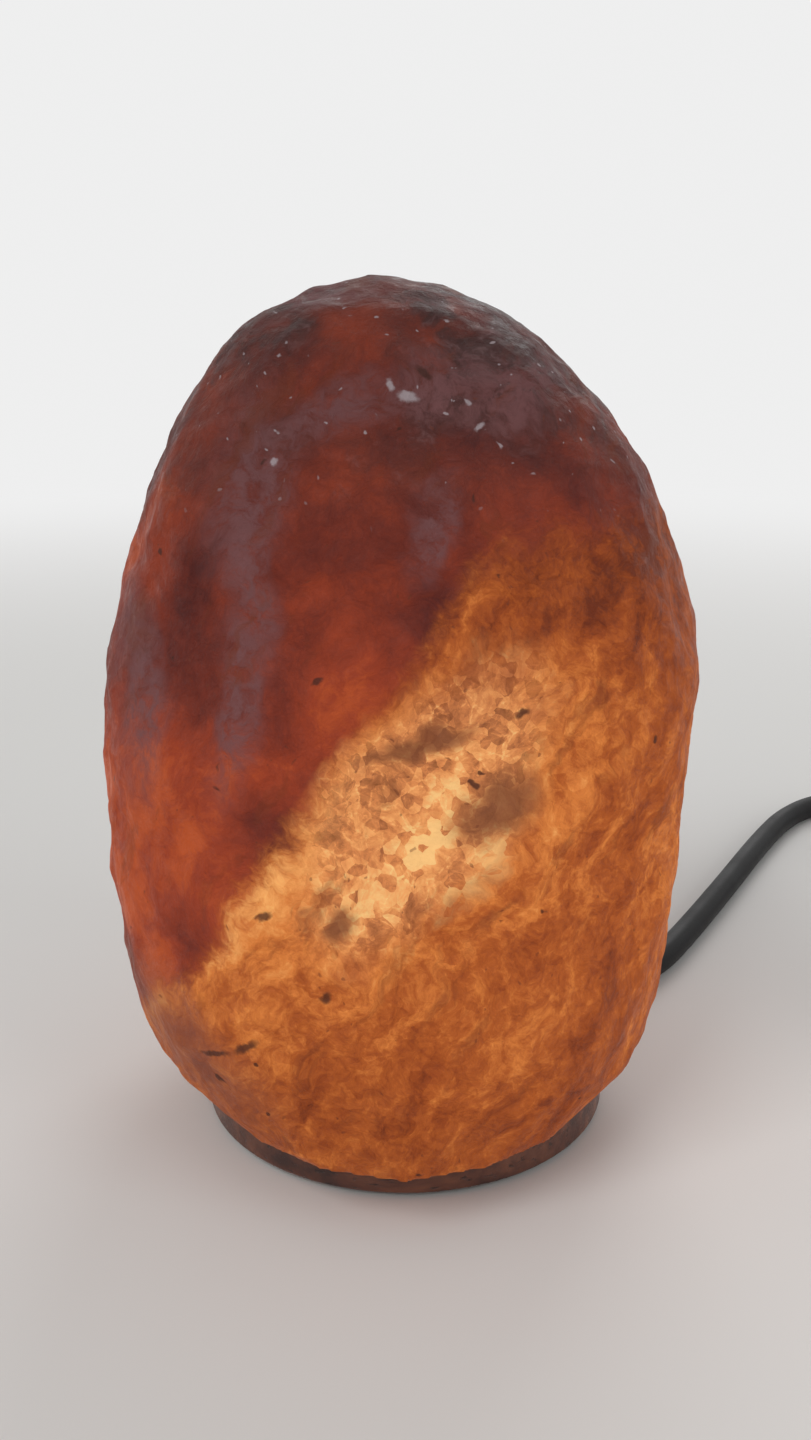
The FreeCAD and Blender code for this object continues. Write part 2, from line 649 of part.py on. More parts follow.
def bulb_glass():
    """Blown glass envelope, open at its neck."""
    outer = glass_profile(0.0)
    inner = glass_profile(GLASS_WALL)
    rim = Part.LineSegment(outer[0].Vertexes[0].Point, inner[0].Vertexes[0].Point).toShape()
    crown = Part.LineSegment(outer[-1].Vertexes[-1].Point, inner[-1].Vertexes[-1].Point).toShape()
    outline = Part.Wire(Part.__sortEdges__(outer + inner + [rim, crown]))
    return Part.Face(outline).revolve(V(), Z_AXIS, 360)


def bulb_stem():
    """Glass stem inside the neck, flared where it joins the envelope."""
    foot = CAP_METAL_LOW + 9
    return revolved([
        (3.2, foot), (NECK_RADIUS - GLASS_WALL - 0.02, foot),
        (NECK_RADIUS - GLASS_WALL - 0.02, foot + 0.8), (2.6, foot + 5), (2.0, STEM_TOP - 4),
        (1.6, STEM_TOP), (0, STEM_TOP), (0, STEM_TOP - 1.5), (0.9, STEM_TOP - 4), (1.6, foot + 5)])


def filament_leads():
    """Two wires from the stem to the filament's ends."""
    pieces = []
    for side in (-1, 1):
        points = [V(side * 0.8, 0, STEM_TOP - 0.4), V(side * 1.2, 0, STEM_TOP + 2.0),
                  V(side * 5.0, 0, FILAMENT_HEIGHT - 2), V(side * 5.4, 0, FILAMENT_HEIGHT)]
        path, _ = rounded_path(points)
        pieces.append(swept_round(path, points[0], points[1] - points[0], 0.3))
    return pieces


def filament():
    """Tungsten filament, a shallow arch between the two leads."""
    left = V(-5.4, 0, FILAMENT_HEIGHT + 0.3)
    right = V(5.4, 0, FILAMENT_HEIGHT + 0.3)
    arch = Part.Wire([Part.Arc(left, V(0, 2.2, FILAMENT_HEIGHT + 1.4), right).toShape()])
    way = arch.Edges[0].tangentAt(arch.Edges[0].FirstParameter)
    return swept_round(arch, arch.Edges[0].valueAt(arch.Edges[0].FirstParameter), way, 0.35)


# ------------------------------------------------------------------------- cords
def boot_tip():
    """Middle of the cord where it leaves the boot."""
    return on_circle(BOOT_TIP, CORD_AZIMUTH, INLET_HEIGHT)


def cord_lead():
    """From the boot, round the back of the lamp, to the switch."""
    inlet = SWITCH_AT + V(0, NOZZLE_END, SWITCH_PARTING)
    points = [
        boot_tip(), on_circle(BOOT_TIP + 12, CORD_AZIMUTH, INLET_HEIGHT),
        V(54.0, 39.0, 4.2), V(65.5, 50.5, CORD_REST), V(77.0, 70.0, CORD_REST),
        V(93.5, 100.0, CORD_REST), V(111.0, 133.0, CORD_REST), V(127.0, 160.0, CORD_REST),
        V(143.0, 173.5, CORD_REST), V(166.0, 180.0, CORD_REST), V(192.0, 182.0, CORD_REST),
        V(219.0, 179.5, CORD_REST), V(245.0, 170.5, CORD_REST), V(266.0, 155.0, CORD_REST),
        V(278.0, 137.0, 4.8), inlet + V(0, 20, 0), inlet]
    return bent_tube(points, CORD_RADIUS, "cord_lead")


def coil_start():
    """Where the cord enters the coil, on its outer turn at the front."""
    return COIL_CENTRE + V(2 * CORD_RADIUS, -COIL_OUTER_RADIUS, CORD_REST)


def coil_end():
    """Where the cord leaves the coil, on its upper outer turn at the back."""
    return COIL_CENTRE + V(2 * CORD_RADIUS, COIL_OUTER_RADIUS, CORD_REST + COIL_LAYERS_APART)


def cord_to_coil():
    """From the switch to the coil, turning to the left on the table."""
    outlet = SWITCH_AT + V(0, -NOZZLE_END, SWITCH_PARTING)
    points = [
        outlet, outlet + V(0, -18, 0), V(276.0, -12.7, 6.6), V(264.7, -24.0, 4.4),
        V(250.0, -30.2, CORD_REST), V(231.0, -32.0, CORD_REST), V(212.5, -31.0, CORD_REST),
        V(193.5, -30.0, CORD_REST), coil_start()]
    return bent_tube(points, CORD_RADIUS, "cord_to_coil")


def coil_half_turns():
    """Half turns of the coil as (start, left or right, radius, climb)."""
    step = COIL_PITCH / 2
    inward = [COIL_OUTER_RADIUS - step * count for count in range(2 * COIL_TURNS)]
    climb_radius = COIL_OUTER_RADIUS - step * 2 * COIL_TURNS
    here = V(COIL_CENTRE.x, COIL_CENTRE.y - COIL_OUTER_RADIUS, CORD_REST)
    turns = []
    for count, radius in enumerate(inward + [climb_radius] + inward[::-1]):
        side = -1 if count % 2 == 0 else 1
        climb = COIL_LAYERS_APART if count == len(inward) else 0.0
        turns.append((here, side, radius, climb))
        here = here + V(0, -side * 2 * radius, climb)
    return turns


def coil_path():
    """Straight lead-in, quarter-turn arcs that spiral in, climb and spiral out."""
    edges = [Part.LineSegment(coil_start(), coil_start() - V(2 * CORD_RADIUS, 0, 0)).toShape()]
    for start, side, radius, climb in coil_half_turns():
        across = V(0, -side * 2 * radius, climb)
        centre = start + across / 2
        reach = across.Length / 2
        outward = V(side, 0, 0)
        quarter = centre + outward * reach
        root_half = math.sqrt(0.5)
        spoke = across.normalize()
        first = centre + (outward - spoke) * (reach * root_half)
        second = centre + (outward + spoke) * (reach * root_half)
        edges.append(Part.Arc(start, first, quarter).toShape())
        edges.append(Part.Arc(quarter, second, centre + spoke * reach).toShape())
    last = edges[-1].valueAt(edges[-1].LastParameter)
    edges.append(Part.LineSegment(last, last + V(2 * CORD_RADIUS, 0, 0)).toShape())
    return Part.Wire(edges)


def least_gap(path, diameter):
    """Smallest space between parts of a coiled tube, measured on points."""
    points = path.discretize(Distance=2.5)
    skip = int(3 * diameter / 2.5)
    nearest = min(
        (one - other).Length
        for count, one in enumerate(points)
        for other in points[count + skip:])
    return nearest - diameter


def cord_coil():
    """The spare cord, coiled in two layers as one unbroken tube."""
    path = coil_path()
    solid = swept_round(path, coil_start(), V(-1, 0, 0), CORD_RADIUS)
    error = solid.Volume / (math.pi * CORD_RADIUS ** 2 * path.Length) - 1
    gap = least_gap(path, 2 * CORD_RADIUS)
    print(f"cord_coil: length {path.Length:.1f}, least gap {gap:.2f}, volume error {error:.2%}")
    return solid


def cord_tail():
    """From the coil, down to the table and round to the plug."""
    relief_tip = PLUG_AT + V(RELIEF_LENGTH, 0, 0)
    points = [
        coil_end(), coil_end() + V(16, 0, 0), V(213.0, 60.2, 6.4), V(235.5, 60.8, CORD_REST),
        V(253.5, 70.8, CORD_REST), V(264.0, 84.0, CORD_REST), V(264.0, 100.0, CORD_REST),
        V(254.5, 116.0, 4.4), relief_tip + V(18, 0, 0), relief_tip]
    return bent_tube(points, CORD_RADIUS, "cord_tail")


# ----------------------------------------------------------------- inline switch
# Drawn round its own middle on the table, with the cord along Y.
def in_switch(shape):
    """Move a piece drawn round the switch's middle to where the switch lies."""
    pieces = shape if isinstance(shape, list) else [shape]
    for piece in pieces:
        piece.translate(SWITCH_AT)
    return shape


def case_half(low, high, rounded_height):
    """Hollow half of the switch case with half a nozzle at each end."""
    wide = SWITCH_HALF_WIDTH
    long = SWITCH_HALF_LENGTH
    outside = block(-wide, wide, -long, long, low, high)
    corners = [edge for edge in outside.Edges
               if abs(edge.tangentAt(edge.FirstParameter).z) > 0.9]
    outside = outside.makeFillet(6.0, corners)
    rim = [edge for edge in outside.Edges if edge.BoundBox.ZMin > rounded_height - 0.01
           and edge.BoundBox.ZMax < rounded_height + 0.01]
    outside = outside.makeFillet(2.0, rim)
    wall = SWITCH_WALL
    inside = block(wall - wide, wide - wall, wall - long, long - wall,
                   max(low, wall), min(high, SWITCH_HEIGHT - wall))
    nozzles = []
    for side in (-1, 1):
        nozzle = cylinder_between(V(0, side * (long - wall), SWITCH_PARTING),
                                  V(0, side * NOZZLE_END, SWITCH_PARTING), 5.8)
        nozzles.append(nozzle.common(block(-9, 9, -50, 50, low, high)))
    bore = cylinder_between(V(0, -50, SWITCH_PARTING), V(0, 50, SWITCH_PARTING), CORD_RADIUS + 0.1)
    return joined(outside, *nozzles).cut([inside, bore])


def switch_lower_shell():
    """Lower half: posts for the cord clamps and bosses for the case screws."""
    shell = case_half(0, SWITCH_PARTING, 0)
    posts = []
    pilots = []
    for along in (-CLAMP_ALONG, CLAMP_ALONG):
        for across in (-CLAMP_ACROSS, CLAMP_ACROSS):
            posts.append(disc(2.3, 1, 12.4, across, along))
            pilots.append(disc(1.0, 4, 12.4, across, along))
    for place in CASE_SCREWS:
        posts.append(disc(3.2, 0.5, SWITCH_PARTING, place.x, place.y))
        pilots.append(disc(2.4, 0, 2.8, place.x, place.y))
        pilots.append(disc(1.35, 0, SWITCH_PARTING, place.x, place.y))
    return joined(shell, *posts).cut(pilots)


def switch_upper_shell():
    """Upper half: rocker window, the rocker's two lugs and the screw bosses."""
    shell = case_half(SWITCH_PARTING, SWITCH_HEIGHT, SWITCH_HEIGHT)
    window = block(-WINDOW_HALF_WIDTH, WINDOW_HALF_WIDTH, -WINDOW_HALF_LENGTH,
                   WINDOW_HALF_LENGTH, 10, SWITCH_HEIGHT + 1)
    posts = []
    cuts = [window]
    for side in (-1, 1):
        edges = sorted((side * WINDOW_HALF_WIDTH, side * (WINDOW_HALF_WIDTH + 2)))
        posts.append(block(edges[0], edges[1], -3, 3, LUG_LOW, SWITCH_HEIGHT - 1))
        cuts.append(cylinder_between(V(side * 5, 0, ROCKER_PIVOT), V(side * 9, 0, ROCKER_PIVOT),
                                     1.0 + RUNNING_GAP))
    for place in CASE_SCREWS:
        posts.append(disc(2.6, SWITCH_PARTING, SWITCH_HEIGHT - 1, place.x, place.y))
        cuts.append(disc(1.0, SWITCH_PARTING, 15.5, place.x, place.y))
    return joined(shell, *posts).cut(cuts)


def case_screws():
    """Two screws that hold the switch case together from below."""
    screw = joined(disc(1.0, 1.4, 15.0), disc(2.2, 1.0, 2.7))
    return copies(screw.cut(block(-2.4, 2.4, -0.3, 0.3, 0.8, 1.6)), CASE_SCREWS)


def cord_clamps():
    """Two bars that hold the cord's ends inside the switch."""
    bar = block(-8.8, 8.8, -2.5, 2.5, 12.55, 14.2)
    bar = bar.cut([disc(1.2, 12, 15, side * CLAMP_ACROSS, 0) for side in (-1, 1)])
    return copies(bar, [V(0, -CLAMP_ALONG, 0), V(0, CLAMP_ALONG, 0)])


def clamp_screws():
    """Four pan-head screws through the cord clamps."""
    screw = joined(disc(0.95, 5, 14.4), disc(1.9, 14.2, 15.6))
    places = [V(across, along, 0) for across in (-CLAMP_ACROSS, CLAMP_ACROSS)
              for along in (-CLAMP_ALONG, CLAMP_ALONG)]
    return copies(screw.cut(block(-2, 2, -0.3, 0.3, 15.1, 16)), places)


def switch_cord_ends():
    """The two jacketed cord ends inside the switch."""
    return [cylinder_between(V(0, side * CORD_IN_SWITCH, SWITCH_PARTING),
                             V(0, side * NOZZLE_END, SWITCH_PARTING), CORD_RADIUS)
            for side in (-1, 1)]


def neutral_link():
    """Core that runs straight through the switch beside the contacts."""
    points = [V(-1.8, WIRE_GAP - CORD_IN_SWITCH, SWITCH_PARTING), V(-2.6, -17.5, 8.3),
              V(-4.9, -11.5, 4.2), V(-5.0, 0, 3.0), V(-4.9, 11.5, 4.2), V(-2.6, 17.5, 8.3),
              V(-1.8, CORD_IN_SWITCH - WIRE_GAP, SWITCH_PARTING)]
    return bent_tube(points, 1.1, "neutral_link")


def switched_wires():
    """The cut live core: one short end to each terminal."""
    pieces = []
    for side in (-1, 1):
        points = [V(1.8, side * (CORD_IN_SWITCH - WIRE_GAP), SWITCH_PARTING),
                  V(1.6, side * 19.4, 8.2), V(1.2, side * 17.4, 4.6), V(1.2, side * 13.6, 4.6)]
        pieces.append(bent_tube(points, 0.9, "switched_wire"))
    return pieces


def lever_axle(start, end, radius):
    """Round bar on the contact lever's tilting axis."""
    return cylinder_between(V(start, 0, LEVER_PIVOT), V(end, 0, LEVER_PIVOT), radius)


def switch_terminals():
    """Pivot terminal and contact terminal, each a strip with a clamp block."""
    pieces = []
    for side in (-1, 1):
        body = block(-1.4, 3.8, side * 13.5 - 2.5, side * 13.5 + 2.5,
                     SWITCH_WALL, TERMINAL_BLOCK_HIGH)
        ends = sorted((side * 12.0, 0.0 if side > 0 else -6.6))
        strip = block(-1.4, 2.2, ends[0], ends[1], SWITCH_WALL, SWITCH_WALL + 0.8)
        if side > 0:
            tip = block(-1.4, 2.2, -1.1, 1.1, SWITCH_WALL, LEVER_PIVOT - 0.15)
            tip = tip.cut(lever_axle(-1.5, 2.3, LEVER_AXLE_RADIUS + RUNNING_GAP))
        else:
            tip = disc(1.4, SWITCH_WALL, LEVER_PIVOT - 1.95, 0.4, -7.6)
        wire_hole = cylinder_between(V(1.2, side * 18, 4.6), V(1.2, side * 12.5, 4.6), 0.95)
        screw_hole = disc(0.75, 4.6, 8, 1.2, side * 13.5)
        pieces.append(joined(body, strip, tip).cut([wire_hole, screw_hole]))
    return pieces


def switch_terminal_screws():
    """One screw on top of each clamp block."""
    screw = joined(disc(0.7, 5.6, 7.7), disc(1.5, 7.5, 8.6))
    places = [V(1.2, side * 13.5, 0) for side in (-1, 1)]
    return copies(screw.cut(block(-2, 2, -0.25, 0.25, 8.2, 9)), places)


def tilted(shape, pivot_height, angle):
    """Tilt a piece about the cross axis at a height."""
    shape.rotate(V(0, 0, pivot_height), X_AXIS, angle)
    return shape


def contact_lever():
    """Sprung see-saw strip on a round axle, its contact button on the closed side."""
    strip = block(-1.3, 2.1, -9.3, 9.3, LEVER_PIVOT, LEVER_PIVOT + 0.8)
    button = disc(1.2, LEVER_PIVOT - 1.1, LEVER_PIVOT + 0.1, 0.4, -7.6)
    axle = lever_axle(-1.3, 2.1, LEVER_AXLE_RADIUS)
    return tilted(joined(strip, button, axle), LEVER_PIVOT, LEVER_TILT)


def switch_rocker():
    """Rocker button with two stub axles and a hollow stem for its plunger."""
    outline = [(-9.4, 12.4), (9.4, 12.4), (9.4, 19.4), (0, 18.4), (-9.4, 19.4)]
    corners = [V(-5.5, along, height) for along, height in outline]
    button = Part.Face(Part.makePolygon(corners + corners[:1])).extrude(V(11, 0, 0))
    axles = cylinder_between(V(-7.6, 0, ROCKER_PIVOT), V(7.6, 0, ROCKER_PIVOT), 1.0)
    stem = disc(2.3, STEM_LOW, 13)
    bore = disc(PLUNGER_RADIUS + 0.05, STEM_LOW - 1, 17.4)
    return tilted(joined(button, axles, stem).cut(bore), ROCKER_PIVOT, -ROCKER_TILT)


def rocker_plunger():
    """Round-nosed pin between the rocker and the contact lever."""
    pin = disc(PLUNGER_RADIUS, PLUNGER_TIP + 0.6, 12.6).fuse(
        Part.makeCone(0.6, PLUNGER_RADIUS, 0.6, V(0, 0, PLUNGER_TIP)))
    return tilted(pin.removeSplitter(), ROCKER_PIVOT, -ROCKER_TILT)


def rocker_spring():
    """Small coil spring that pushes the plunger down."""
    wire_radius = 0.2
    mean_radius = PLUNGER_RADIUS - wire_radius - 0.05
    helix = Part.makeHelix(0.8, 4.0, mean_radius)
    spring = swept_round(Part.Wire(helix.Edges), V(mean_radius, 0, 0), Y_AXIS, wire_radius)
    spring.translate(V(0, 0, 12.95))
    return tilted(spring, ROCKER_PIVOT, -ROCKER_TILT)


# -------------------------------------------------------------------------- plug
def in_plug(shape):
    """Move a piece drawn round the plug's rear face to where the plug lies."""
    pieces = shape if isinstance(shape, list) else [shape]
    for piece in pieces:
        piece.translate(PLUG_AT)
    return shape


def pin_placed(shape, side):
    """Lay a pin drawn up the Z axis along -X, leaning towards its fellow."""
    shape.rotate(V(), Y_AXIS, -90)
    shape.rotate(V(), Z_AXIS, side * PIN_TILT)
    shape.translate(V(-PLUG_LENGTH, side * PIN_SPACING / 2, 0))
    return shape


def plug_pins():
    """Two round pins with thinner necks rooted in the body."""
    pin = revolved([
        (0, -9), (PIN_NECK_RADIUS, -9), (PIN_NECK_RADIUS, PIN_SLEEVE_LENGTH),
        (PIN_RADIUS, PIN_SLEEVE_LENGTH), (PIN_RADIUS, PIN_LENGTH - 1.2),
        (PIN_RADIUS - 1.0, PIN_LENGTH), (0, PIN_LENGTH)])
    return [pin_placed(pin.copy(), side) for side in (-1, 1)]


def pin_sleeves():
    """Insulating sleeves round the pins' necks."""
    sleeve = ring(PIN_SLEEVE_RADIUS, PIN_NECK_RADIUS + 0.01, 0.3, PIN_SLEEVE_LENGTH - 0.02)
    return [pin_placed(sleeve.copy(), side) for side in (-1, 1)]


def plug_body():
    """Flat moulded body, straight at the pins and narrowing to the cord."""
    half = PLUG_HEIGHT / 2
    outline = [(-PLUG_LENGTH, -PLUG_HALF_WIDTH), (-15, -PLUG_HALF_WIDTH), (0, -8.0), (0, 8.0),
               (-15, PLUG_HALF_WIDTH), (-PLUG_LENGTH, PLUG_HALF_WIDTH)]
    corners = [V(along, across, -half) for along, across in outline]
    body = Part.Face(Part.makePolygon(corners + corners[:1])).extrude(V(0, 0, PLUG_HEIGHT))
    upright = [edge for edge in body.Edges
               if abs(edge.tangentAt(edge.FirstParameter).z) > 0.9 and edge.CenterOfMass.x > -20]
    body = body.makeFillet(4.0, upright)
    long_rims = [edge for edge in body.Edges
                 if abs(abs(edge.CenterOfMass.z) - half) < 0.01 and edge.CenterOfMass.x > -30]
    body = body.makeFillet(2.5, long_rims)
    return body.cut([pin_placed(disc(PIN_NECK_RADIUS + 0.01, -9.2, 1), side) for side in (-1, 1)])


def plug_relief():
    """Ribbed rubber sleeve that lets the cord bend at the plug."""
    sleeve = revolved([(CORD_RADIUS, 0.02), (6.2, 0.02), (5.6, 5), (4.2, RELIEF_LENGTH),
                       (CORD_RADIUS, RELIEF_LENGTH)])
    grooves = []
    for step in range(5):
        low = 6.5 + 4.2 * step
        grooves.append(ring(8.0, 4.7 - 0.15 * step, low, low + 1.7))
    sleeve = sleeve.cut(grooves)
    sleeve.rotate(V(), Y_AXIS, 90)
    return sleeve


def plug_cord_end():
    """The cord inside the relief."""
    return cylinder_between(V(0.02, 0, 0), V(RELIEF_LENGTH, 0, 0), CORD_RADIUS)


# ------------------------------------------------------------------------ export
def main():
    """Build every piece and write it to its own file."""
    os.makedirs("parts", exist_ok=True)
    save(salt_crystal(), "salt_crystal")
    save(wooden_base(), "wooden_base")
    save(copies(base_screw(), screw_places()), "base_screws")
    save(copies(wall_plug(), screw_places()), "wall_plugs")
    save(foot_pads(), "foot_pads")

    holder = {
        "holder_cap": holder_cap(), "holder_body": holder_body(),
        "holder_insert": holder_insert(), "screw_shell": screw_shell(),
        "centre_contact": centre_contact(), "terminals": terminals(),
        "terminal_screws": terminal_screws(), "cord_grip": cord_grip(),
        "grip_screws": grip_screws(), "cord_boot": cord_boot(), "cord_inner": cord_inner(),
        "live_wire": core_wire(1, "live_wire"), "neutral_wire": core_wire(-1, "neutral_wire"),
        "spring_clip": spring_clip(), "clip_screws": clip_screws(),
    }
    for name, shape in holder.items():
        for piece in (shape if isinstance(shape, list) else [shape]):
            towards_cord(piece)
        save(shape, name)

    save(bulb_cap(), "bulb_cap")
    save(cap_insulator(), "cap_insulator")
    save(cap_contact(), "cap_contact")
    save(bulb_glass(), "bulb_glass")
    save(bulb_stem(), "bulb_stem")
    save(filament_leads(), "filament_leads")
    save(filament(), "filament")

    save(cord_lead(), "cord_lead")
    save(cord_to_coil(), "cord_to_coil")
    save(cord_coil(), "cord_coil")
    save(cord_tail(), "cord_tail")

    switch = {
        "switch_lower_shell": switch_lower_shell(), "switch_upper_shell": switch_upper_shell(),
        "case_screws": case_screws(), "cord_clamps": cord_clamps(),
        "clamp_screws": clamp_screws(), "switch_cord_ends": switch_cord_ends(),
        "neutral_link": neutral_link(), "switched_wires": switched_wires(),
        "switch_terminals": switch_terminals(),
        "switch_terminal_screws": switch_terminal_screws(), "contact_lever": contact_lever(),
        "switch_rocker": switch_rocker(), "rocker_plunger": rocker_plunger(),
        "rocker_spring": rocker_spring(),
    }
    for name, shape in switch.items():
        save(in_switch(shape), name)

    plug = {
        "plug_body": plug_body(), "plug_pins": plug_pins(), "pin_sleeves": pin_sleeves(),
        "plug_relief": plug_relief(), "plug_cord_end": plug_cord_end(),
    }
    for name, shape in plug.items():
        save(in_plug(shape), name)


main()
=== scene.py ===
# %% [markdown]
# # A salt crystal lamp
# The lamp is a rough block of rock salt on a round wooden base. A small bulb
# inside makes the salt glow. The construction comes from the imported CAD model,
# which stays exactly where it is. This lesson adds the camera, the cords, the
# hewn salt and the finish of every surface.

# %% Load the frame
import json
import math

import bpy
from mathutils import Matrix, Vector


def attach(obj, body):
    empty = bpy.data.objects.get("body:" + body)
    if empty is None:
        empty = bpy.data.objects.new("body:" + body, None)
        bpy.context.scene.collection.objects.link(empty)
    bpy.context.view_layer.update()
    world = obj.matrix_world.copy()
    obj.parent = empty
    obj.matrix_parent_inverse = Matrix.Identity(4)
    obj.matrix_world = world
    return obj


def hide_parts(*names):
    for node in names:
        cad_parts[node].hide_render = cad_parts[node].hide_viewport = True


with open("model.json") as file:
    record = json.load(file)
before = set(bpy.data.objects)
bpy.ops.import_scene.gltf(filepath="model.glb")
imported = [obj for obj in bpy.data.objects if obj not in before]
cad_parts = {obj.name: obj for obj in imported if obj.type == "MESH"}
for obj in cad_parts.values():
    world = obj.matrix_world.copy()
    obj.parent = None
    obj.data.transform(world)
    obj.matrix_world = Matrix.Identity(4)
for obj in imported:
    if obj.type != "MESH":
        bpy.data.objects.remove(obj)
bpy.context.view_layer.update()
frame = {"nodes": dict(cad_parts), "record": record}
nodes = frame["nodes"]
MM = 0.001
print("CAD nodes:", len(nodes))

# %% [markdown]
# ## Camera
# The photograph was taken from a little above the lamp, about 28 cm in front of
# it. A camera is best placed by numbers when it has been matched to a picture:
# the height, the distance and the tilt each follow from the round foot of the
# base and the edge of the table.

# %% Camera
CAMERA_HEIGHT = 165 * MM
CAMERA_DISTANCE = 280.5 * MM
CAMERA_DOWN = math.radians(16.2)
FOCAL_PIXELS = 1400
LONG_SIDE_PIXELS = 1440
SENSOR_MM = 36.0
NEAR_CLIP = 10 * MM

bpy.ops.object.select_all(action="DESELECT")
bpy.ops.object.camera_add(
    location=(0, -CAMERA_DISTANCE, CAMERA_HEIGHT),
    rotation=(math.pi / 2 - CAMERA_DOWN, 0, 0))
camera = bpy.context.object
camera.name = "photo_camera"
camera.data.sensor_width = SENSOR_MM
camera.data.lens = SENSOR_MM * FOCAL_PIXELS / LONG_SIDE_PIXELS
camera.data.clip_start = NEAR_CLIP
bpy.context.scene.camera = camera
bpy.context.scene.view_settings.view_transform = "Standard"
print("lens", round(camera.data.lens, 1), "mm")

# %% [markdown]
# ## Cords
# A mains cord is a fixed length of something springy, so it lies in wide smooth curves. A NURBS
# curve with a round bevel is the right tool: a handful of listed control points gives a line with
# no kinks. Blender pads a curve's box by its points' radius, so the radius holds half the cord's
# width and the bevel only multiplies it by one. The spare length that the photograph doesn't show
# is coiled behind the picture's right edge, and its turns are worked out by a loop.

# %% A helper for cords
CORD_DIAMETER = 7 * MM
WHOLE_RADIUS = 1.0
BEVEL_STEPS = 7
CURVE_STEPS = 10
CURVE_ORDER = 3
CORD_REST = 3.55
INLET_HEIGHT = 5.9
CORD_AZIMUTH = math.radians(35.0)
BOOT_TIP = 38.0
SWITCH_AT = Vector((282, 59, 0))
NOZZLE_END = 39.0
NOZZLE_HEIGHT = 9.0
PLUG_AT = Vector((193, 124, 6.85))
RELIEF_LENGTH = 28.0


def cord_curve(name, points):
    """A round cord through listed control points, given in millimetres."""
    curve = bpy.data.curves.new(name, "CURVE")
    curve.dimensions = "3D"
    spline = curve.splines.new("NURBS")
    spline.points.add(len(points) - 1)
    for control, point in zip(spline.points, points):
        control.co = (*(Vector(point) * MM), 1)
        control.radius = CORD_DIAMETER / 2
    spline.order_u = CURVE_ORDER
    spline.use_endpoint_u = True
    spline.resolution_u = CURVE_STEPS
    curve.bevel_depth = WHOLE_RADIUS
    curve.bevel_resolution = BEVEL_STEPS
    curve.use_fill_caps = True
    piece = bpy.data.objects.new(name, curve)
    bpy.context.scene.collection.objects.link(piece)
    print(name, "has", len(points), "control points")
    return piece


def from_axis(radius, height):
    """Point on the line along which the cord leaves the lamp."""
    return (radius * math.cos(CORD_AZIMUTH), radius * math.sin(CORD_AZIMUTH), height)


# %% The lead, from the lamp to the switch
switch_inlet = SWITCH_AT + Vector((0, NOZZLE_END, NOZZLE_HEIGHT))
lead_points = [
    from_axis(BOOT_TIP, INLET_HEIGHT), from_axis(BOOT_TIP + 12, INLET_HEIGHT),
    (54.0, 39.0, 4.2), (65.5, 50.5, CORD_REST), (77.0, 70.0, CORD_REST),
    (93.5, 100.0, CORD_REST), (111.0, 133.0, CORD_REST), (127.0, 160.0, CORD_REST),
    (143.0, 173.5, CORD_REST), (166.0, 180.0, CORD_REST), (192.0, 182.0, CORD_REST),
    (219.0, 179.5, CORD_REST), (245.0, 170.5, CORD_REST), (266.0, 155.0, CORD_REST),
    (278.0, 137.0, 4.8), switch_inlet + Vector((0, 20, 0)), switch_inlet]
lead = cord_curve("lead_cord", lead_points)

# %% [markdown]
# ## The coil
# Spare cord is wound into a neat coil of two layers. Each half turn has its own
# centre and a slightly smaller radius, which is how a real coil spirals in. The
# cord climbs to the second layer in the innermost half turn and spirals out
# again. The control points stand a little outside the circle, because the curve
# cuts inside its corners.

# %% The coil's turns
COIL_CENTRE = Vector((168, 15, 0))
COIL_OUTER_RADIUS = 45.0
COIL_PITCH = 7.8
COIL_TURNS = 2
LAYERS_APART = 7.6
STEPS_PER_HALF_TURN = 8


def coil_points():
    """Control points of the coil, from its outer turn in and out again."""
    half_step = math.pi / STEPS_PER_HALF_TURN / 2
    inward = [COIL_OUTER_RADIUS - COIL_PITCH / 2 * count for count in range(2 * COIL_TURNS)]
    climb_radius = COIL_OUTER_RADIUS - COIL_PITCH * COIL_TURNS
    end_y = COIL_CENTRE.y - COIL_OUTER_RADIUS
    height = CORD_REST
    points = []
    for count, radius in enumerate(inward + [climb_radius] + inward[::-1]):
        side = -1 if count % 2 == 0 else 1
        centre_y = end_y - side * radius
        climb = LAYERS_APART if count == len(inward) else 0.0
        for step in range(STEPS_PER_HALF_TURN):
            turned = math.pi * (step + 0.5) / STEPS_PER_HALF_TURN
            reach = radius / math.cos(half_step)
            lift = climb * (1 - math.cos(turned)) / 2
            points.append((
                COIL_CENTRE.x + side * reach * math.sin(turned),
                centre_y + side * reach * math.cos(turned),
                height + lift))
        end_y = centre_y - side * radius
        height += climb
    return points


# %% The long cord, from the switch through the coil to the plug
switch_outlet = SWITCH_AT + Vector((0, -NOZZLE_END, NOZZLE_HEIGHT))
relief_tip = PLUG_AT + Vector((RELIEF_LENGTH, 0, 0))
coil_low = COIL_CENTRE + Vector((CORD_DIAMETER / MM, -COIL_OUTER_RADIUS, CORD_REST))
coil_high = COIL_CENTRE + Vector((CORD_DIAMETER / MM, COIL_OUTER_RADIUS, CORD_REST + LAYERS_APART))
before_coil = [
    switch_outlet, switch_outlet + Vector((0, -18, 0)), (276.0, -12.7, 6.6),
    (264.7, -24.0, 4.4), (250.0, -30.2, CORD_REST), (231.0, -32.0, CORD_REST),
    (212.5, -31.0, CORD_REST), (193.5, -30.0, CORD_REST), coil_low]
after_coil = [
    coil_high, coil_high + Vector((16, 0, 0)), (213.0, 60.2, 6.4),
    (235.5, 60.8, CORD_REST), (253.5, 70.8, CORD_REST), (264.0, 84.0, CORD_REST),
    (264.0, 100.0, CORD_REST), (254.5, 116.0, 4.4), relief_tip + Vector((18, 0, 0)),
    relief_tip]
long_cord = cord_curve("mains_cord", before_coil + coil_points() + after_coil)

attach(lead, "lamp_holder")
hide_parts("cord_lead")

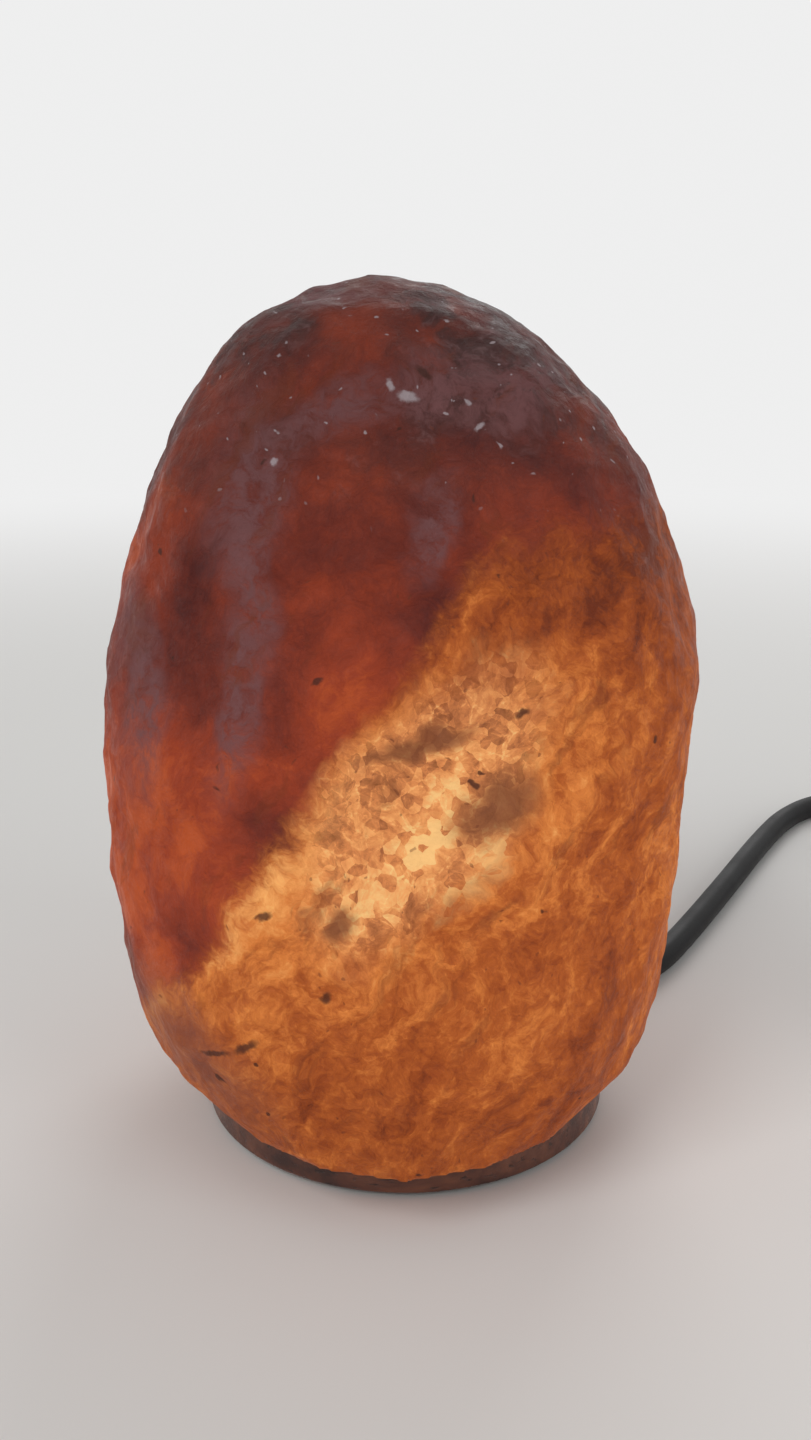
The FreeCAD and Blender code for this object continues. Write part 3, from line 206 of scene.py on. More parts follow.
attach(long_cord, "lamp_holder")
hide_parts("cord_to_coil", "cord_coil", "cord_tail")

# %% [markdown]
# ## Floor and light
# A plain pale floor and soft light from large lamps show a thing as it is. The
# lamps are weak enough for a colour to come out about as it is written, so the
# salt's own glow still reads. The world looks pale to the camera but lights the
# lamp less, which the Light Path node makes possible.

# %% Helpers for node trees


def add_node(tree, kind, inputs=None, **settings):
    """A node with its settings, its input values and the links into it."""
    node = tree.nodes.new(kind)
    for name, value in settings.items():
        setattr(node, name, value)
    for name, value in (inputs or {}).items():
        if isinstance(value, bpy.types.NodeSocket):
            tree.links.new(value, node.inputs[name])
        else:
            node.inputs[name].default_value = value
    return node


def new_material(name):
    """An empty material with a Principled shader, which is returned with its tree."""
    material = bpy.data.materials.new(name)
    material.use_nodes = True
    tree = material.node_tree
    shader = tree.nodes["Principled BSDF"]
    return material, tree, shader


def math_of(tree, operation, first, second=0.0, third=0.0):
    """The result of one Math node."""
    node = add_node(tree, "ShaderNodeMath", {0: first, 1: second, 2: third}, operation=operation)
    return node.outputs[0]


def ramp(tree, value, start, end, low=0.0, high=1.0):
    """A smooth step from low to high while a value goes from start to end."""
    node = add_node(
        tree, "ShaderNodeMapRange",
        {"Value": value, "From Min": start, "From Max": end, "To Min": low, "To Max": high},
        interpolation_type="SMOOTHSTEP")
    return node.outputs["Result"]


def mixed(tree, factor, under, over, blend="MIX"):
    """One colour laid over another as far as a factor says."""
    node = add_node(tree, "ShaderNodeMix", {0: factor, 6: under, 7: over},
                    data_type="RGBA", blend_type=blend)
    return node.outputs[2]


def tinted(tree, under, mask, share, over):
    """A colour with a share of another one laid over it where a mask is 1."""
    return mixed(tree, math_of(tree, "MULTIPLY", mask, share), under, over)


def noise_of(tree, place, scale, detail=4.0, roughness=0.55):
    """A Noise texture node."""
    return add_node(
        tree, "ShaderNodeTexNoise",
        {"Vector": place, "Scale": scale, "Detail": detail, "Roughness": roughness})


def bumped(tree, shader, height, distance, strength=1.0):
    """Tilt a shader's surface by a height, whose full range is a distance in metres."""
    bump = add_node(tree, "ShaderNodeBump",
                    {"Height": height, "Distance": distance, "Strength": strength})
    tree.links.new(bump.outputs["Normal"], shader.inputs["Normal"])


# %% World, floor and lamps
FLOOR_SIZE = 6.0
FLOOR_COLOUR = (0.80, 0.79, 0.77, 1)
FLOOR_ROUGHNESS = 0.75
BACKDROP_COLOUR = (0.86, 0.86, 0.86, 1)
WORLD_LIGHT = 0.42
FADE_START = 0.30
FADE_END = 1.10

world = bpy.data.worlds.new("studio")
bpy.context.scene.world = world
world.use_nodes = True
sky = world.node_tree
background = sky.nodes["Background"]
background.inputs["Color"].default_value = BACKDROP_COLOUR


def seen_ray(tree):
    """1 for rays from the camera, reflections and glass, and 0 for rays that light things."""
    rays = add_node(tree, "ShaderNodeLightPath")
    seen = math_of(tree, "MAXIMUM", rays.outputs["Is Camera Ray"], rays.outputs["Is Glossy Ray"])
    return math_of(tree, "MAXIMUM", seen, rays.outputs["Is Transmission Ray"])


sky.links.new(ramp(sky, seen_ray(sky), 0.0, 1.0, WORLD_LIGHT, 1.0), background.inputs["Strength"])

bpy.ops.object.select_all(action="DESELECT")
bpy.ops.mesh.primitive_plane_add(size=FLOOR_SIZE)
floor = bpy.context.object
floor.name = "studio_floor"
floor_material, floor_tree, floor_shader = new_material("pale_floor")
floor_shader.inputs["Base Color"].default_value = FLOOR_COLOUR
floor_shader.inputs["Roughness"].default_value = FLOOR_ROUGHNESS
floor_place = add_node(floor_tree, "ShaderNodeTexCoord").outputs["Object"]
away = add_node(floor_tree, "ShaderNodeVectorMath", {0: floor_place}, operation="LENGTH")
faded = math_of(floor_tree, "MULTIPLY", seen_ray(floor_tree),
                ramp(floor_tree, away.outputs["Value"], FADE_START, FADE_END))
glow = add_node(floor_tree, "ShaderNodeEmission", {"Color": BACKDROP_COLOUR})
blended = add_node(floor_tree, "ShaderNodeMixShader",
                   {0: faded, 1: floor_shader.outputs[0], 2: glow.outputs[0]})
floor_tree.links.new(blended.outputs[0], floor_tree.nodes["Material Output"].inputs["Surface"])
floor.data.materials.append(floor_material)


def soft_lamp(name, location, aim, size, power):
    """A large square lamp that points at a place."""
    bpy.ops.object.select_all(action="DESELECT")
    way = Vector(aim) - Vector(location)
    bpy.ops.object.light_add(
        type="AREA", location=location, rotation=way.to_track_quat("-Z", "Y").to_euler())
    lamp = bpy.context.object
    lamp.name = name
    lamp.data.size = size
    lamp.data.energy = power
    return lamp


LAMP_AIM = (0.05, 0.03, 0.08)
LAMP_SIZE = 1.0
soft_lamp("key_light", (-0.9, -1.1, 1.3), LAMP_AIM, LAMP_SIZE, power=13)
soft_lamp("fill_light", (1.2, -0.9, 0.8), LAMP_AIM, LAMP_SIZE, power=5)
soft_lamp("back_light", (0.4, 1.5, 1.2), LAMP_AIM, LAMP_SIZE, power=8)
print("floor and three lamps")

# %% [markdown]
# ## The hewn salt
# Rock salt is split and chipped into shape, then washed, so its skin has broad
# flats with soft ridges between them, shallow scooped dents, and fine flakes. A
# sculpting artist would carve it by hand. Here a copy of the CAD block is
# rebuilt as an even net of small faces, and Displace modifiers push that net in
# and out with several sizes of procedural texture. Only the outer skin moves:
# the sawn bottom and the lamp hole stay as they are.

# %% Copy the block and rebuild its surface
SKIN_FACE = 1.05 * MM
HOLE_RADIUS = 20 * MM
BASE_TOP = 13.5 * MM
MERGE_WITHIN = 0.01 * MM


def use(piece):
    """Select one piece and make it active."""
    bpy.ops.object.select_all(action="DESELECT")
    piece.select_set(True)
    bpy.context.view_layer.objects.active = piece


def apply_modifier(piece, kind, **settings):
    """Add one modifier and apply it at once."""
    use(piece)
    modifier = piece.modifiers.new(kind.lower(), kind)
    for name, value in settings.items():
        setattr(modifier, name, value)
    bpy.ops.object.modifier_apply(modifier=modifier.name)


def copy_of_node(node_name, piece_name):
    """A loose copy of a CAD node, with its doubled corners merged."""
    piece = nodes[node_name].copy()
    piece.data = nodes[node_name].data.copy()
    piece.name = piece_name
    piece.parent = None
    for key in list(piece.keys()):
        del piece[key]
    bpy.context.scene.collection.objects.link(piece)
    use(piece)
    bpy.ops.object.mode_set(mode="EDIT")
    bpy.ops.mesh.select_all(action="SELECT")
    bpy.ops.mesh.remove_doubles(threshold=MERGE_WITHIN)
    bpy.ops.object.mode_set(mode="OBJECT")
    return piece


salt = copy_of_node("salt_crystal", "salt_block")
salt.data.materials.clear()
apply_modifier(salt, "REMESH", mode="VOXEL", voxel_size=SKIN_FACE)
print("salt block has", len(salt.data.polygons), "faces")

# %% Choose the skin that may move
SKIN_SMOOTHING = 14
SMOOTHING_FACTOR = 0.6
EDGE_MARGIN = 2.0 * MM
HOLE_TOP = 105 * MM
SAWN_WIDTH = 14 * MM
SAWN_HEIGHT = 30 * MM
FREE_FROM = 0.3 * MM
FREE_WITHIN = 4 * MM


def skin_weight(corner):
    """How far a corner may move: none in the hole and on the sawn bottom."""
    off_axis = math.hypot(corner.x, corner.y)
    above = corner.z - BASE_TOP
    if off_axis < HOLE_RADIUS + EDGE_MARGIN and corner.z < HOLE_TOP:
        return 0.0
    if off_axis - HOLE_RADIUS - EDGE_MARGIN < SAWN_WIDTH and above < SAWN_HEIGHT:
        return 0.0
    return min(1.0, max(0.0, (above - FREE_FROM) / FREE_WITHIN))


skin = salt.vertex_groups.new(name="skin")
for corner in salt.data.vertices:
    skin.add([corner.index], skin_weight(corner.co), "REPLACE")

apply_modifier(salt, "SMOOTH", factor=SMOOTHING_FACTOR, iterations=SKIN_SMOOTHING,
               vertex_group="skin")

# %% [markdown]
# ### Dents, flats and flakes
# Each kind of relief is its own texture and its own Displace modifier, largest
# first. Cell (Voronoi) textures give flats that meet in ridges, as split salt
# has, and cloud textures break them up. Ridges sharper than an angle stay
# crisp when the rest is shaded smooth.

# %% Push the skin in and out


def relief(piece, name, kind, strength, mid_level=0.5, **settings):
    """Displace the skin by a procedural texture, strength in millimetres."""
    texture = bpy.data.textures.new(name, kind)
    for setting, value in settings.items():
        setattr(texture, setting, value)
    apply_modifier(
        piece, "DISPLACE", texture=texture, texture_coords="LOCAL", direction="NORMAL",
        mid_level=mid_level, strength=strength * MM, vertex_group="skin")


RIDGE_ANGLE = 50

relief(salt, "split_flats", "VORONOI", strength=1.5, mid_level=0.6,
       noise_scale=0.017, distance_metric="DISTANCE")
relief(salt, "small_dents", "VORONOI", strength=0.9, mid_level=0.55,
       noise_scale=0.0085, distance_metric="DISTANCE")
relief(salt, "crumbled_skin", "CLOUDS", strength=0.8, noise_scale=0.006, noise_depth=3)
use(salt)
bpy.ops.object.shade_smooth_by_angle(angle=math.radians(RIDGE_ANGLE))
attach(salt, "salt_lamp")
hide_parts("salt_crystal")
low = [min(corner.co[axis] for corner in salt.data.vertices) for axis in range(3)]
high = [max(corner.co[axis] for corner in salt.data.vertices) for axis in range(3)]
print("salt block spans", [round(v / MM, 1) for v in low], [round(v / MM, 1) for v in high])

# %% [markdown]
# ## The salt's colour
# A bulb inside a block of rock salt lights it from within, so thin clear parts look bright amber
# and thick or cloudy parts look deep red. Real light through salt takes many samples. Painting the
# glow with nodes is quicker and stays the same from every side: one colour is worked out, painted
# glow and all. It serves as the salt's base colour, and part of it is sent out as light. All
# places are in centimetres from the bulb's axis and the table, so they can be read off the block.

# %% Places in the salt
CM_PER_M = 100


def place_in_cm(tree):
    """Position on the piece, in centimetres."""
    place = add_node(tree, "ShaderNodeTexCoord").outputs["Object"]
    scaled = add_node(tree, "ShaderNodeMapping", {"Vector": place, "Scale": (CM_PER_M,) * 3})
    return scaled.outputs[0]


def warped(tree, place, scale, amount):
    """A position pushed about by noise, which gives patterns ragged edges."""
    push = noise_of(tree, place, scale, 3.0)
    centred = add_node(tree, "ShaderNodeVectorMath",
                       {0: push.outputs["Color"], 1: (0.5, 0.5, 0.5)}, operation="SUBTRACT")
    moved = add_node(tree, "ShaderNodeVectorMath",
                     {0: centred.outputs[0], 1: (amount,) * 3, 2: place},
                     operation="MULTIPLY_ADD")
    return moved.outputs[0]


def laid_along(tree, place, lean, halves, centre=(0, 0, 0)):
    """Position measured from a centre, leaning in the front view, in its own half sizes."""
    node = add_node(
        tree, "ShaderNodeMapping",
        {"Vector": place, "Location": centre, "Rotation": (0, -math.radians(lean), 0),
         "Scale": halves}, vector_type="TEXTURE")
    return node.outputs[0]


def patch(tree, place, centre, halves, lean=0.0, edge=(1.15, 0.6)):
    """A mask that is 1 inside a leaning ellipsoid and fades at its edge."""
    inside = laid_along(tree, place, lean, halves, centre)
    away = add_node(tree, "ShaderNodeVectorMath", {0: inside}, operation="LENGTH")
    return ramp(tree, away.outputs["Value"], *edge)


def colours_along(tree, value, stops):
    """A Color Ramp with (place, colour) stops."""
    node = add_node(tree, "ShaderNodeValToRGB", {0: value})
    elements = node.color_ramp.elements
    while len(elements) < len(stops):
        elements.new(0.5)
    for element, (position, colour) in zip(elements, stops):
        element.position = position
        element.color = (*colour, 1)
    return node.outputs["Color"]


salt_material, salt_tree, salt_shader = new_material("rock_salt")
in_salt = place_in_cm(salt_tree)
wavy = warped(salt_tree, in_salt, 0.45, 1.3)
ragged = warped(salt_tree, wavy, 2.0, 0.5)
salt_xyz = add_node(salt_tree, "ShaderNodeSeparateXYZ", {0: wavy}).outputs
print("salt places ready")

# %% [markdown]
# ### Amber below, red above
# The clear amber salt and the cloudy red salt meet along a slanting seam, which levels off at the
# right. The seam's height is a smooth minimum of a slope and a level. Streaks in the amber run
# along the seam.

# %% The two kinds of salt
SEAM_LEVEL = 13.0
SEAM_RISE = 1.45
SEAM_HEIGHT = 11.0
SEAM_BEND = 1.5
SEAM_TILT = 0.12
SEAM_RAGGEDNESS = 1.1
STREAK_LEAN = 52.0
STREAK_SIZE = (2.6, 1.0, 0.75)

# Scale, detail and roughness of each noise.
STREAK_NOISE = (1.0, 7.0, 0.62)
BROAD_NOISE = (0.42, 3.0)
FLAKE_NOISE = (2.6, 9.0, 0.70)
CRUMB_NOISE = (7.0, 6.0, 0.72)

slope = math_of(salt_tree, "MULTIPLY_ADD", salt_xyz[0], SEAM_RISE, SEAM_HEIGHT)
seam = math_of(salt_tree, "SMOOTH_MIN", slope, SEAM_LEVEL, SEAM_BEND)
seam = math_of(salt_tree, "MULTIPLY_ADD", salt_xyz[1], SEAM_TILT, seam)
above_seam = math_of(salt_tree, "SUBTRACT", salt_xyz[2], seam)

streaky = laid_along(salt_tree, ragged, STREAK_LEAN, STREAK_SIZE)
streaks = noise_of(salt_tree, streaky, *STREAK_NOISE).outputs[0]
broad = noise_of(salt_tree, wavy, *BROAD_NOISE).outputs[0]
flakes = noise_of(salt_tree, ragged, *FLAKE_NOISE).outputs[0]
crumbs = noise_of(salt_tree, ragged, *CRUMB_NOISE).outputs[0]
above_seam = math_of(salt_tree, "MULTIPLY_ADD", flakes, -SEAM_RAGGEDNESS, above_seam)
above_seam = math_of(salt_tree, "ADD", above_seam, SEAM_RAGGEDNESS / 2)
print("streaks, flakes and crumbs")

# %% [markdown]
# A ramp turns one number, the tone, into amber. Near the bulb the tone is
# raised instead of mixing in a paler colour, so the grain stays crisp there.

# %% Amber and red by tone


def raised(tree, tone, mask, amount):
    """A tone raised (or lowered) where a mask is 1."""
    return math_of(tree, "MULTIPLY_ADD", mask, amount, tone)


FLAKES_SHARE = 0.28
STREAKS_SHARE = 0.46
CRUMBS_SHARE = 0.24
FACETS_SHARE = 0.05
FACET_SCALE = 3.4
SEAM_EDGE_LIFT = 0.11

# Centre, half sizes, lean in degrees and change of tone of each patch.
LIGHTER = [
    ((-0.4, -4.8, 6.8), (4.6, 5.0, 2.5), 48.0, 0.105),
    ((2.4, -4.6, 9.0), (3.0, 4.0, 1.8), 60.0, 0.060),
    ((5.4, -2.4, 5.8), (3.4, 4.0, 1.1), 84.0, 0.070),
    ((0.2, -5.0, 2.6), (3.6, 4.0, 1.6), 0.0, -0.020),
    ((3.8, -2.6, 12.2), (3.6, 4.0, 2.0), 0.0, -0.110),
    ((3.2, -4.0, 3.4), (2.4, 3.0, 0.9), 60.0, -0.030),
]
facets = add_node(salt_tree, "ShaderNodeTexVoronoi",
                  {"Vector": warped(salt_tree, in_salt, 1.6, 0.35), "Scale": FACET_SCALE})
facet_tone = add_node(salt_tree, "ShaderNodeSeparateColor", {0: facets.outputs["Color"]})
tone = math_of(salt_tree, "MULTIPLY", flakes, FLAKES_SHARE)
tone = raised(salt_tree, tone, streaks, STREAKS_SHARE)
tone = raised(salt_tree, tone, crumbs, CRUMBS_SHARE)
tone = raised(salt_tree, tone, facet_tone.outputs[0], FACETS_SHARE)
seam_edge = math_of(salt_tree, "MULTIPLY", ramp(salt_tree, above_seam, -1.3, -0.2),
                    ramp(salt_tree, above_seam, 0.5, -0.1))
seam_edge = math_of(salt_tree, "MULTIPLY", seam_edge, ramp(salt_tree, salt_xyz[2], 12.0, 9.0))
tone = raised(salt_tree, tone, seam_edge, SEAM_EDGE_LIFT)
for centre, halves, lean, amount in LIGHTER:
    lighter = patch(salt_tree, wavy, centre, halves, lean, edge=(1.3, 0.2))
    tone = raised(salt_tree, tone, lighter, amount)
amber = colours_along(salt_tree, tone, [
    (0.36, (0.150, 0.026, 0.007)), (0.46, (0.300, 0.060, 0.012)),
    (0.54, (0.430, 0.100, 0.019)), (0.64, (0.680, 0.205, 0.043)),
    (0.78, (0.95, 0.43, 0.13))])

RED_CRUMBS_SHARE = 0.25
LOW_RED_LIFT = 0.10

# Centre, half sizes, lean, edge and change of tone of each patch.
BRIGHTER_RED = [
    ((-5.2, -2.4, 11.2), (1.2, 4.0, 1.7), 0.0, (1.4, 0.3), 0.13),
    ((-1.6, -4.4, 11.4), (1.5, 4.0, 1.5), 0.0, (1.4, 0.3), 0.10),
    ((-5.4, -2.4, 6.9), (3.0, 4.0, 1.9), 100.0, (1.3, 0.3), 0.22),
]
red_tone = raised(salt_tree, broad, ramp(salt_tree, salt_xyz[2], 13.5, 6.5), LOW_RED_LIFT)
red_tone = raised(salt_tree, red_tone, crumbs, RED_CRUMBS_SHARE)
for centre, halves, lean, edge, amount in BRIGHTER_RED:
    brighter = patch(salt_tree, wavy, centre, halves, lean, edge)
    red_tone = raised(salt_tree, red_tone, brighter, amount)
red = colours_along(salt_tree, red_tone, [
    (0.48, (0.078, 0.013, 0.010)), (0.64, (0.165, 0.025, 0.013)),
    (0.80, (0.300, 0.044, 0.016)), (0.92, (0.46, 0.080, 0.020))])
glow_and_salt_colour = mixed(salt_tree, ramp(salt_tree, above_seam, -0.35, 0.75), amber, red)
print("amber and red salt")

# %% [markdown]
# ### The hazy top and the veins
# Away from the bulb the salt looks grey-pink, because room light scatters off
# its frosted skin. Milky veins run down the left side, and faint ones cross the
# back.

# %% Haze and veins
HAZE_START = 12.7
HAZE_FULL = 15.6
HAZE_RAGGEDNESS = 3.5
BLOTCH_NOISE = (0.75, 6.0, 0.6)
VEIN_COLOUR = (0.170, 0.068, 0.067, 1)

haze_colour = colours_along(salt_tree, flakes, [
    (0.34, (0.032, 0.010, 0.008)), (0.52, (0.060, 0.024, 0.022)),
    (0.68, (0.160, 0.092, 0.090))])
haze_height = math_of(salt_tree, "MULTIPLY_ADD", broad, -HAZE_RAGGEDNESS,
                      HAZE_START + HAZE_RAGGEDNESS / 2)
haze = math_of(salt_tree, "SUBTRACT", salt_xyz[2], haze_height)
haze = ramp(salt_tree, haze, 0.0, HAZE_FULL - HAZE_START)
blotches = noise_of(salt_tree, ragged, *BLOTCH_NOISE).outputs[0]
haze = math_of(salt_tree, "MULTIPLY", haze, ramp(salt_tree, blotches, 0.42, 0.60, 0.35, 0.95))
clear_top = patch(salt_tree, ragged, (-1.1, -3.8, 15.3), (1.2, 3.0, 1.3), 70.0,
                  edge=(1.4, 0.4))
haze = math_of(salt_tree, "MULTIPLY", haze, ramp(salt_tree, clear_top, 0.0, 1.0, 1.0, 0.25))
glow_and_salt_colour = mixed(salt_tree, haze, glow_and_salt_colour, haze_colour)

# Centre, half sizes and lean of each vein.
VEINS = [
    ((-2.7, -4.0, 13.7), (1.5, 3.5, 0.75), 80.0),
    ((-2.6, -4.5, 12.0), (1.3, 3.0, 0.38), 100.0),
    ((-2.9, -4.8, 10.0), (1.6, 3.0, 0.40), 86.0),
    ((-5.0, -2.8, 9.9), (1.9, 3.0, 0.50), 96.0),
    ((0.5, -4.6, 13.0), (0.9, 2.5, 0.35), 70.0),
    ((-1.2, -4.0, 14.9), (1.2, 3.0, 0.40), 20.0),
    ((0.6, -3.3, 15.3), (0.9, 2.5, 0.45), 0.0),
    ((2.0, -2.8, 15.2), (0.9, 2.5, 0.50), 30.0),
    ((-1.5, -1.0, 16.9), (0.9, 2.5, 0.30), 0.0),
    ((3.6, 4.4, 12.0), (1.6, 3.0, 0.50), 75.0),
    ((-2.0, 5.0, 9.4), (1.3, 3.0, 0.55), 100.0),
    ((-3.6, 3.6, 4.6), (1.8, 3.0, 0.35), 40.0),
]
vein_breaks = ramp(salt_tree, flakes, 0.36, 0.60, 0.15, 0.95)
for centre, halves, lean in VEINS:
    vein = patch(salt_tree, ragged, centre, halves, lean, edge=(1.5, 0.4))
    glow_and_salt_colour = tinted(salt_tree, glow_and_salt_colour, vein, vein_breaks, VEIN_COLOUR)
print(len(VEINS), "veins")

# %% [markdown]
# ### The clear window
# In the middle of the front the salt is broken into clear grains, and the bulb
# shines through them. A Voronoi texture gives each grain its own tone, a second
# one draws bright cracks, and small patches are nearly as bright as the bulb.
# Smoky pockets lie over it.

# %% The window and its grains
GRAIN_SCALE = 4.6
GRAINS_SHARE = 0.24
SHARD_NOISE = (3.4, 10.0, 0.74)
SHARDS_SHARE = 0.85
CRACK_SCALE = 2.6
CRACK_LIFT = 0.16
WINDOW_SHARE = 0.85
SMOKE_SHARE = 0.85
SMOKE_COLOUR = (0.20, 0.064, 0.026, 1)

window = patch(salt_tree, ragged, (0.35, -5.6, 8.3), (2.9, 3.2, 1.45), 52.0,
               edge=(1.3, 0.75))
in_window = warped(salt_tree, in_salt, 1.6, 0.35)
grain = add_node(salt_tree, "ShaderNodeTexVoronoi", {"Vector": in_window, "Scale": GRAIN_SCALE})
grain_tone = add_node(salt_tree, "ShaderNodeSeparateColor", {0: grain.outputs["Color"]})
shards = noise_of(salt_tree, ragged, *SHARD_NOISE).outputs[0]
window_tone = math_of(salt_tree, "MULTIPLY", grain_tone.outputs[0], GRAINS_SHARE)
window_tone = raised(salt_tree, window_tone, shards, SHARDS_SHARE)
cracks = add_node(salt_tree, "ShaderNodeTexVoronoi",
                  {"Vector": in_window, "Scale": CRACK_SCALE}, feature="DISTANCE_TO_EDGE")
cracks = ramp(salt_tree, cracks.outputs["Distance"], 0.07, 0.0)
cracks = math_of(salt_tree, "MULTIPLY", cracks, ramp(salt_tree, shards, 0.45, 0.62))
window_tone = raised(salt_tree, window_tone, cracks, CRACK_LIFT)

# Centre, half sizes, lean and change of tone of each bright patch.
HOT_SPOTS = [
    ((0.55, -5.6, 8.10), (0.90, 3.0, 0.34), 62.0, 0.38),
    ((1.20, -5.6, 6.85), (0.85, 3.0, 0.28), 62.0, 0.62),
    ((1.15, -5.4, 9.35), (0.6, 3.0, 0.35), 100.0, 0.14),
    ((-0.7, -5.4, 6.9), (2.0, 3.0, 0.70), 20.0, 0.16),
]
grain_share = ramp(salt_tree, grain_tone.outputs[1], 0.0, 0.8, 0.2, 1.5)
for centre, halves, lean, amount in HOT_SPOTS:
    spot = patch(salt_tree, ragged, centre, halves, lean, edge=(1.6, 0.2))
    spot = math_of(salt_tree, "MULTIPLY", spot, grain_share)
    window_tone = raised(salt_tree, window_tone, spot, amount)
window_colour = colours_along(salt_tree, window_tone, [
    (0.32, (0.190, 0.062, 0.022)), (0.46, (0.410, 0.140, 0.050)),
    (0.58, (0.680, 0.245, 0.080)), (0.72, (0.900, 0.390, 0.130)),
    (0.92, (1.0, 0.61, 0.235))])
glow_and_salt_colour = tinted(salt_tree, glow_and_salt_colour, window, WINDOW_SHARE, window_colour)

# Centre, half sizes and lean of each smoky pocket.
POCKETS = [
    ((1.6, -5.2, 8.25), (0.75, 2.6, 0.42), 20.0),
    ((-1.2, -5.5, 6.3), (0.38, 2.0, 0.24), 60.0),
    ((0.4, -5.4, 9.5), (0.8, 2.0, 0.22), 30.0),
]
for centre, halves, lean in POCKETS:
    smoke = patch(salt_tree, ragged, centre, halves, lean, edge=(1.6, 0.4))
    glow_and_salt_colour = tinted(salt_tree, glow_and_salt_colour, smoke, SMOKE_SHARE, SMOKE_COLOUR)
print("window with", len(HOT_SPOTS), "hot spots and", len(POCKETS), "pockets")

# %% [markdown]
# ### Stains, specks, chip marks and painted highlights
# Clay leaves dark slanting stains at the right and small specks all over. Near the foot on the
# left the skin is pale and lilac. At the top, pale spots are partly freshly chipped corners and
# partly painted highlights, where light glints off the facets. Specks are scattered by a texture,
# and the few marks that the eye would miss are placed one by one.

# %% Small marks
# A pale colour for fresh chip marks and for painted highlights at the top.
CHIP_AND_GLINT_COLOUR = (0.40, 0.33, 0.34, 1)
CLAY_COLOUR = (0.055, 0.016, 0.010, 1)
FINE_SPECK_COLOUR = (0.13, 0.030, 0.014, 1)
STAIN_COLOUR = (0.150, 0.030, 0.011, 1)
FOOT_COLOUR = (0.21, 0.070, 0.045, 1)
STAIN_SHARE = 0.5
FOOT_SHARE = 0.55
SPECK_SHARE = 0.85
FINE_SPECK_SHARE = 0.55
CHIP_AND_GLINT_SHARE = 0.75
MARK_SHARE = 0.85

# Centre, half sizes and lean of each mark.
CLAY_MARKS = [
    ((0.32, -3.2, 15.5), (0.17, 2.0, 0.07), -40.0),
    ((-2.5, -5.0, 6.3), (0.16, 2.0, 0.06), 20.0),
    ((-1.4, -5.0, 4.9), (0.14, 2.0, 0.09), 60.0),
    ((-2.9, -4.6, 3.7), (0.28, 2.0, 0.08), 35.0),
    ((-3.5, -4.4, 3.4), (0.30, 2.0, 0.06), 20.0),
    ((2.0, -4.9, 9.9), (0.14, 2.0, 0.06), 25.0),
    ((-1.5, -5.0, 10.5), (0.09, 2.0, 0.05), 40.0),
]
# Pale marks at the top: partly fresh chip marks, partly painted highlights.
WHITE_CHIPS_AND_HIGHLIGHTS = [
    ((0.05, -3.4, 15.1), (0.17, 2.0, 0.08), -10.0),
    ((-0.25, -3.4, 15.3), (0.06, 2.0, 0.11), 20.0),
    ((1.3, -3.0, 14.6), (0.10, 2.0, 0.05), 30.0),
    ((1.1, -3.0, 15.0), (0.06, 2.0, 0.05), 0.0),
    ((-2.3, -3.6, 14.0), (0.07, 2.0, 0.06), 50.0),
]
stain_noise = laid_along(salt_tree, ragged, 60.0, (2.2, 1.0, 0.42))
stain = ramp(salt_tree, noise_of(salt_tree, stain_noise, 0.8, 5.0).outputs[0], 0.56, 0.70)
glow_and_salt_colour = tinted(salt_tree, glow_and_salt_colour, stain, STAIN_SHARE, STAIN_COLOUR)
pale_foot = patch(salt_tree, ragged, (-4.2, -3.2, 3.2), (2.4, 3.6, 1.1), 150.0,
                  edge=(1.4, 0.4))
glow_and_salt_colour = tinted(salt_tree, glow_and_salt_colour, pale_foot, FOOT_SHARE, FOOT_COLOUR)


def specks(tree, place, scale, share, size):
    """Scattered dots: only a share of the cells has one."""
    cell = add_node(tree, "ShaderNodeTexVoronoi", {"Vector": place, "Scale": scale})
    chance = add_node(tree, "ShaderNodeSeparateColor", {0: cell.outputs["Color"]})
    chosen = math_of(tree, "LESS_THAN", chance.outputs[1], share)
    dot = ramp(tree, cell.outputs["Distance"], size, size * 0.55)
    return math_of(tree, "MULTIPLY", dot, chosen)


dark_dots = specks(salt_tree, ragged, scale=1.5, share=0.22, size=0.12)
fine_dots = specks(salt_tree, ragged, scale=4.0, share=0.22, size=0.16)
glow_and_salt_colour = tinted(salt_tree, glow_and_salt_colour, dark_dots, SPECK_SHARE, CLAY_COLOUR)
glow_and_salt_colour = tinted(salt_tree, glow_and_salt_colour, fine_dots, FINE_SPECK_SHARE, FINE_SPECK_COLOUR)
# Scattered pale dots, only towards the top: partly chip marks, partly painted glints where the
# light falls.
chip_and_glint_dots = specks(salt_tree, ragged, scale=4.5, share=0.22, size=0.20)
chip_and_glint_dots = math_of(salt_tree, "MULTIPLY", chip_and_glint_dots, ramp(salt_tree, salt_xyz[2], 12.6, 14.6))
glow_and_salt_colour = tinted(salt_tree, glow_and_salt_colour, chip_and_glint_dots, CHIP_AND_GLINT_SHARE, CHIP_AND_GLINT_COLOUR)
jagged = warped(salt_tree, in_salt, 6.0, 0.16)
for colour, marks in ((CLAY_COLOUR, CLAY_MARKS), (CHIP_AND_GLINT_COLOUR, WHITE_CHIPS_AND_HIGHLIGHTS)):
    for centre, halves, lean in marks:
        mark = patch(salt_tree, jagged, centre, halves, lean, edge=(1.4, 0.6))
        glow_and_salt_colour = tinted(salt_tree, glow_and_salt_colour, mark, MARK_SHARE, colour)
print("stains, specks and chips")

# %% [markdown]
# ### Glow, sheen and bump
# The glow is strongest beside the bulb and weakest at the top. The same flakes
# that colour the salt also make its skin rough and uneven.

# %% Join the salt's shader
BULB_MIDDLE = (0.7, 0.0, 6.2)
GLOW_STRENGTH = 0.55
SKIN_SHINE = 0.14
SKIN_BUMP = 1.6 * MM
SKIN_BUMP_STRENGTH = 0.8
FACET_HEIGHT = 0.5
SKIN_SHARE = (0.64, 0.64, 0.66, 1)

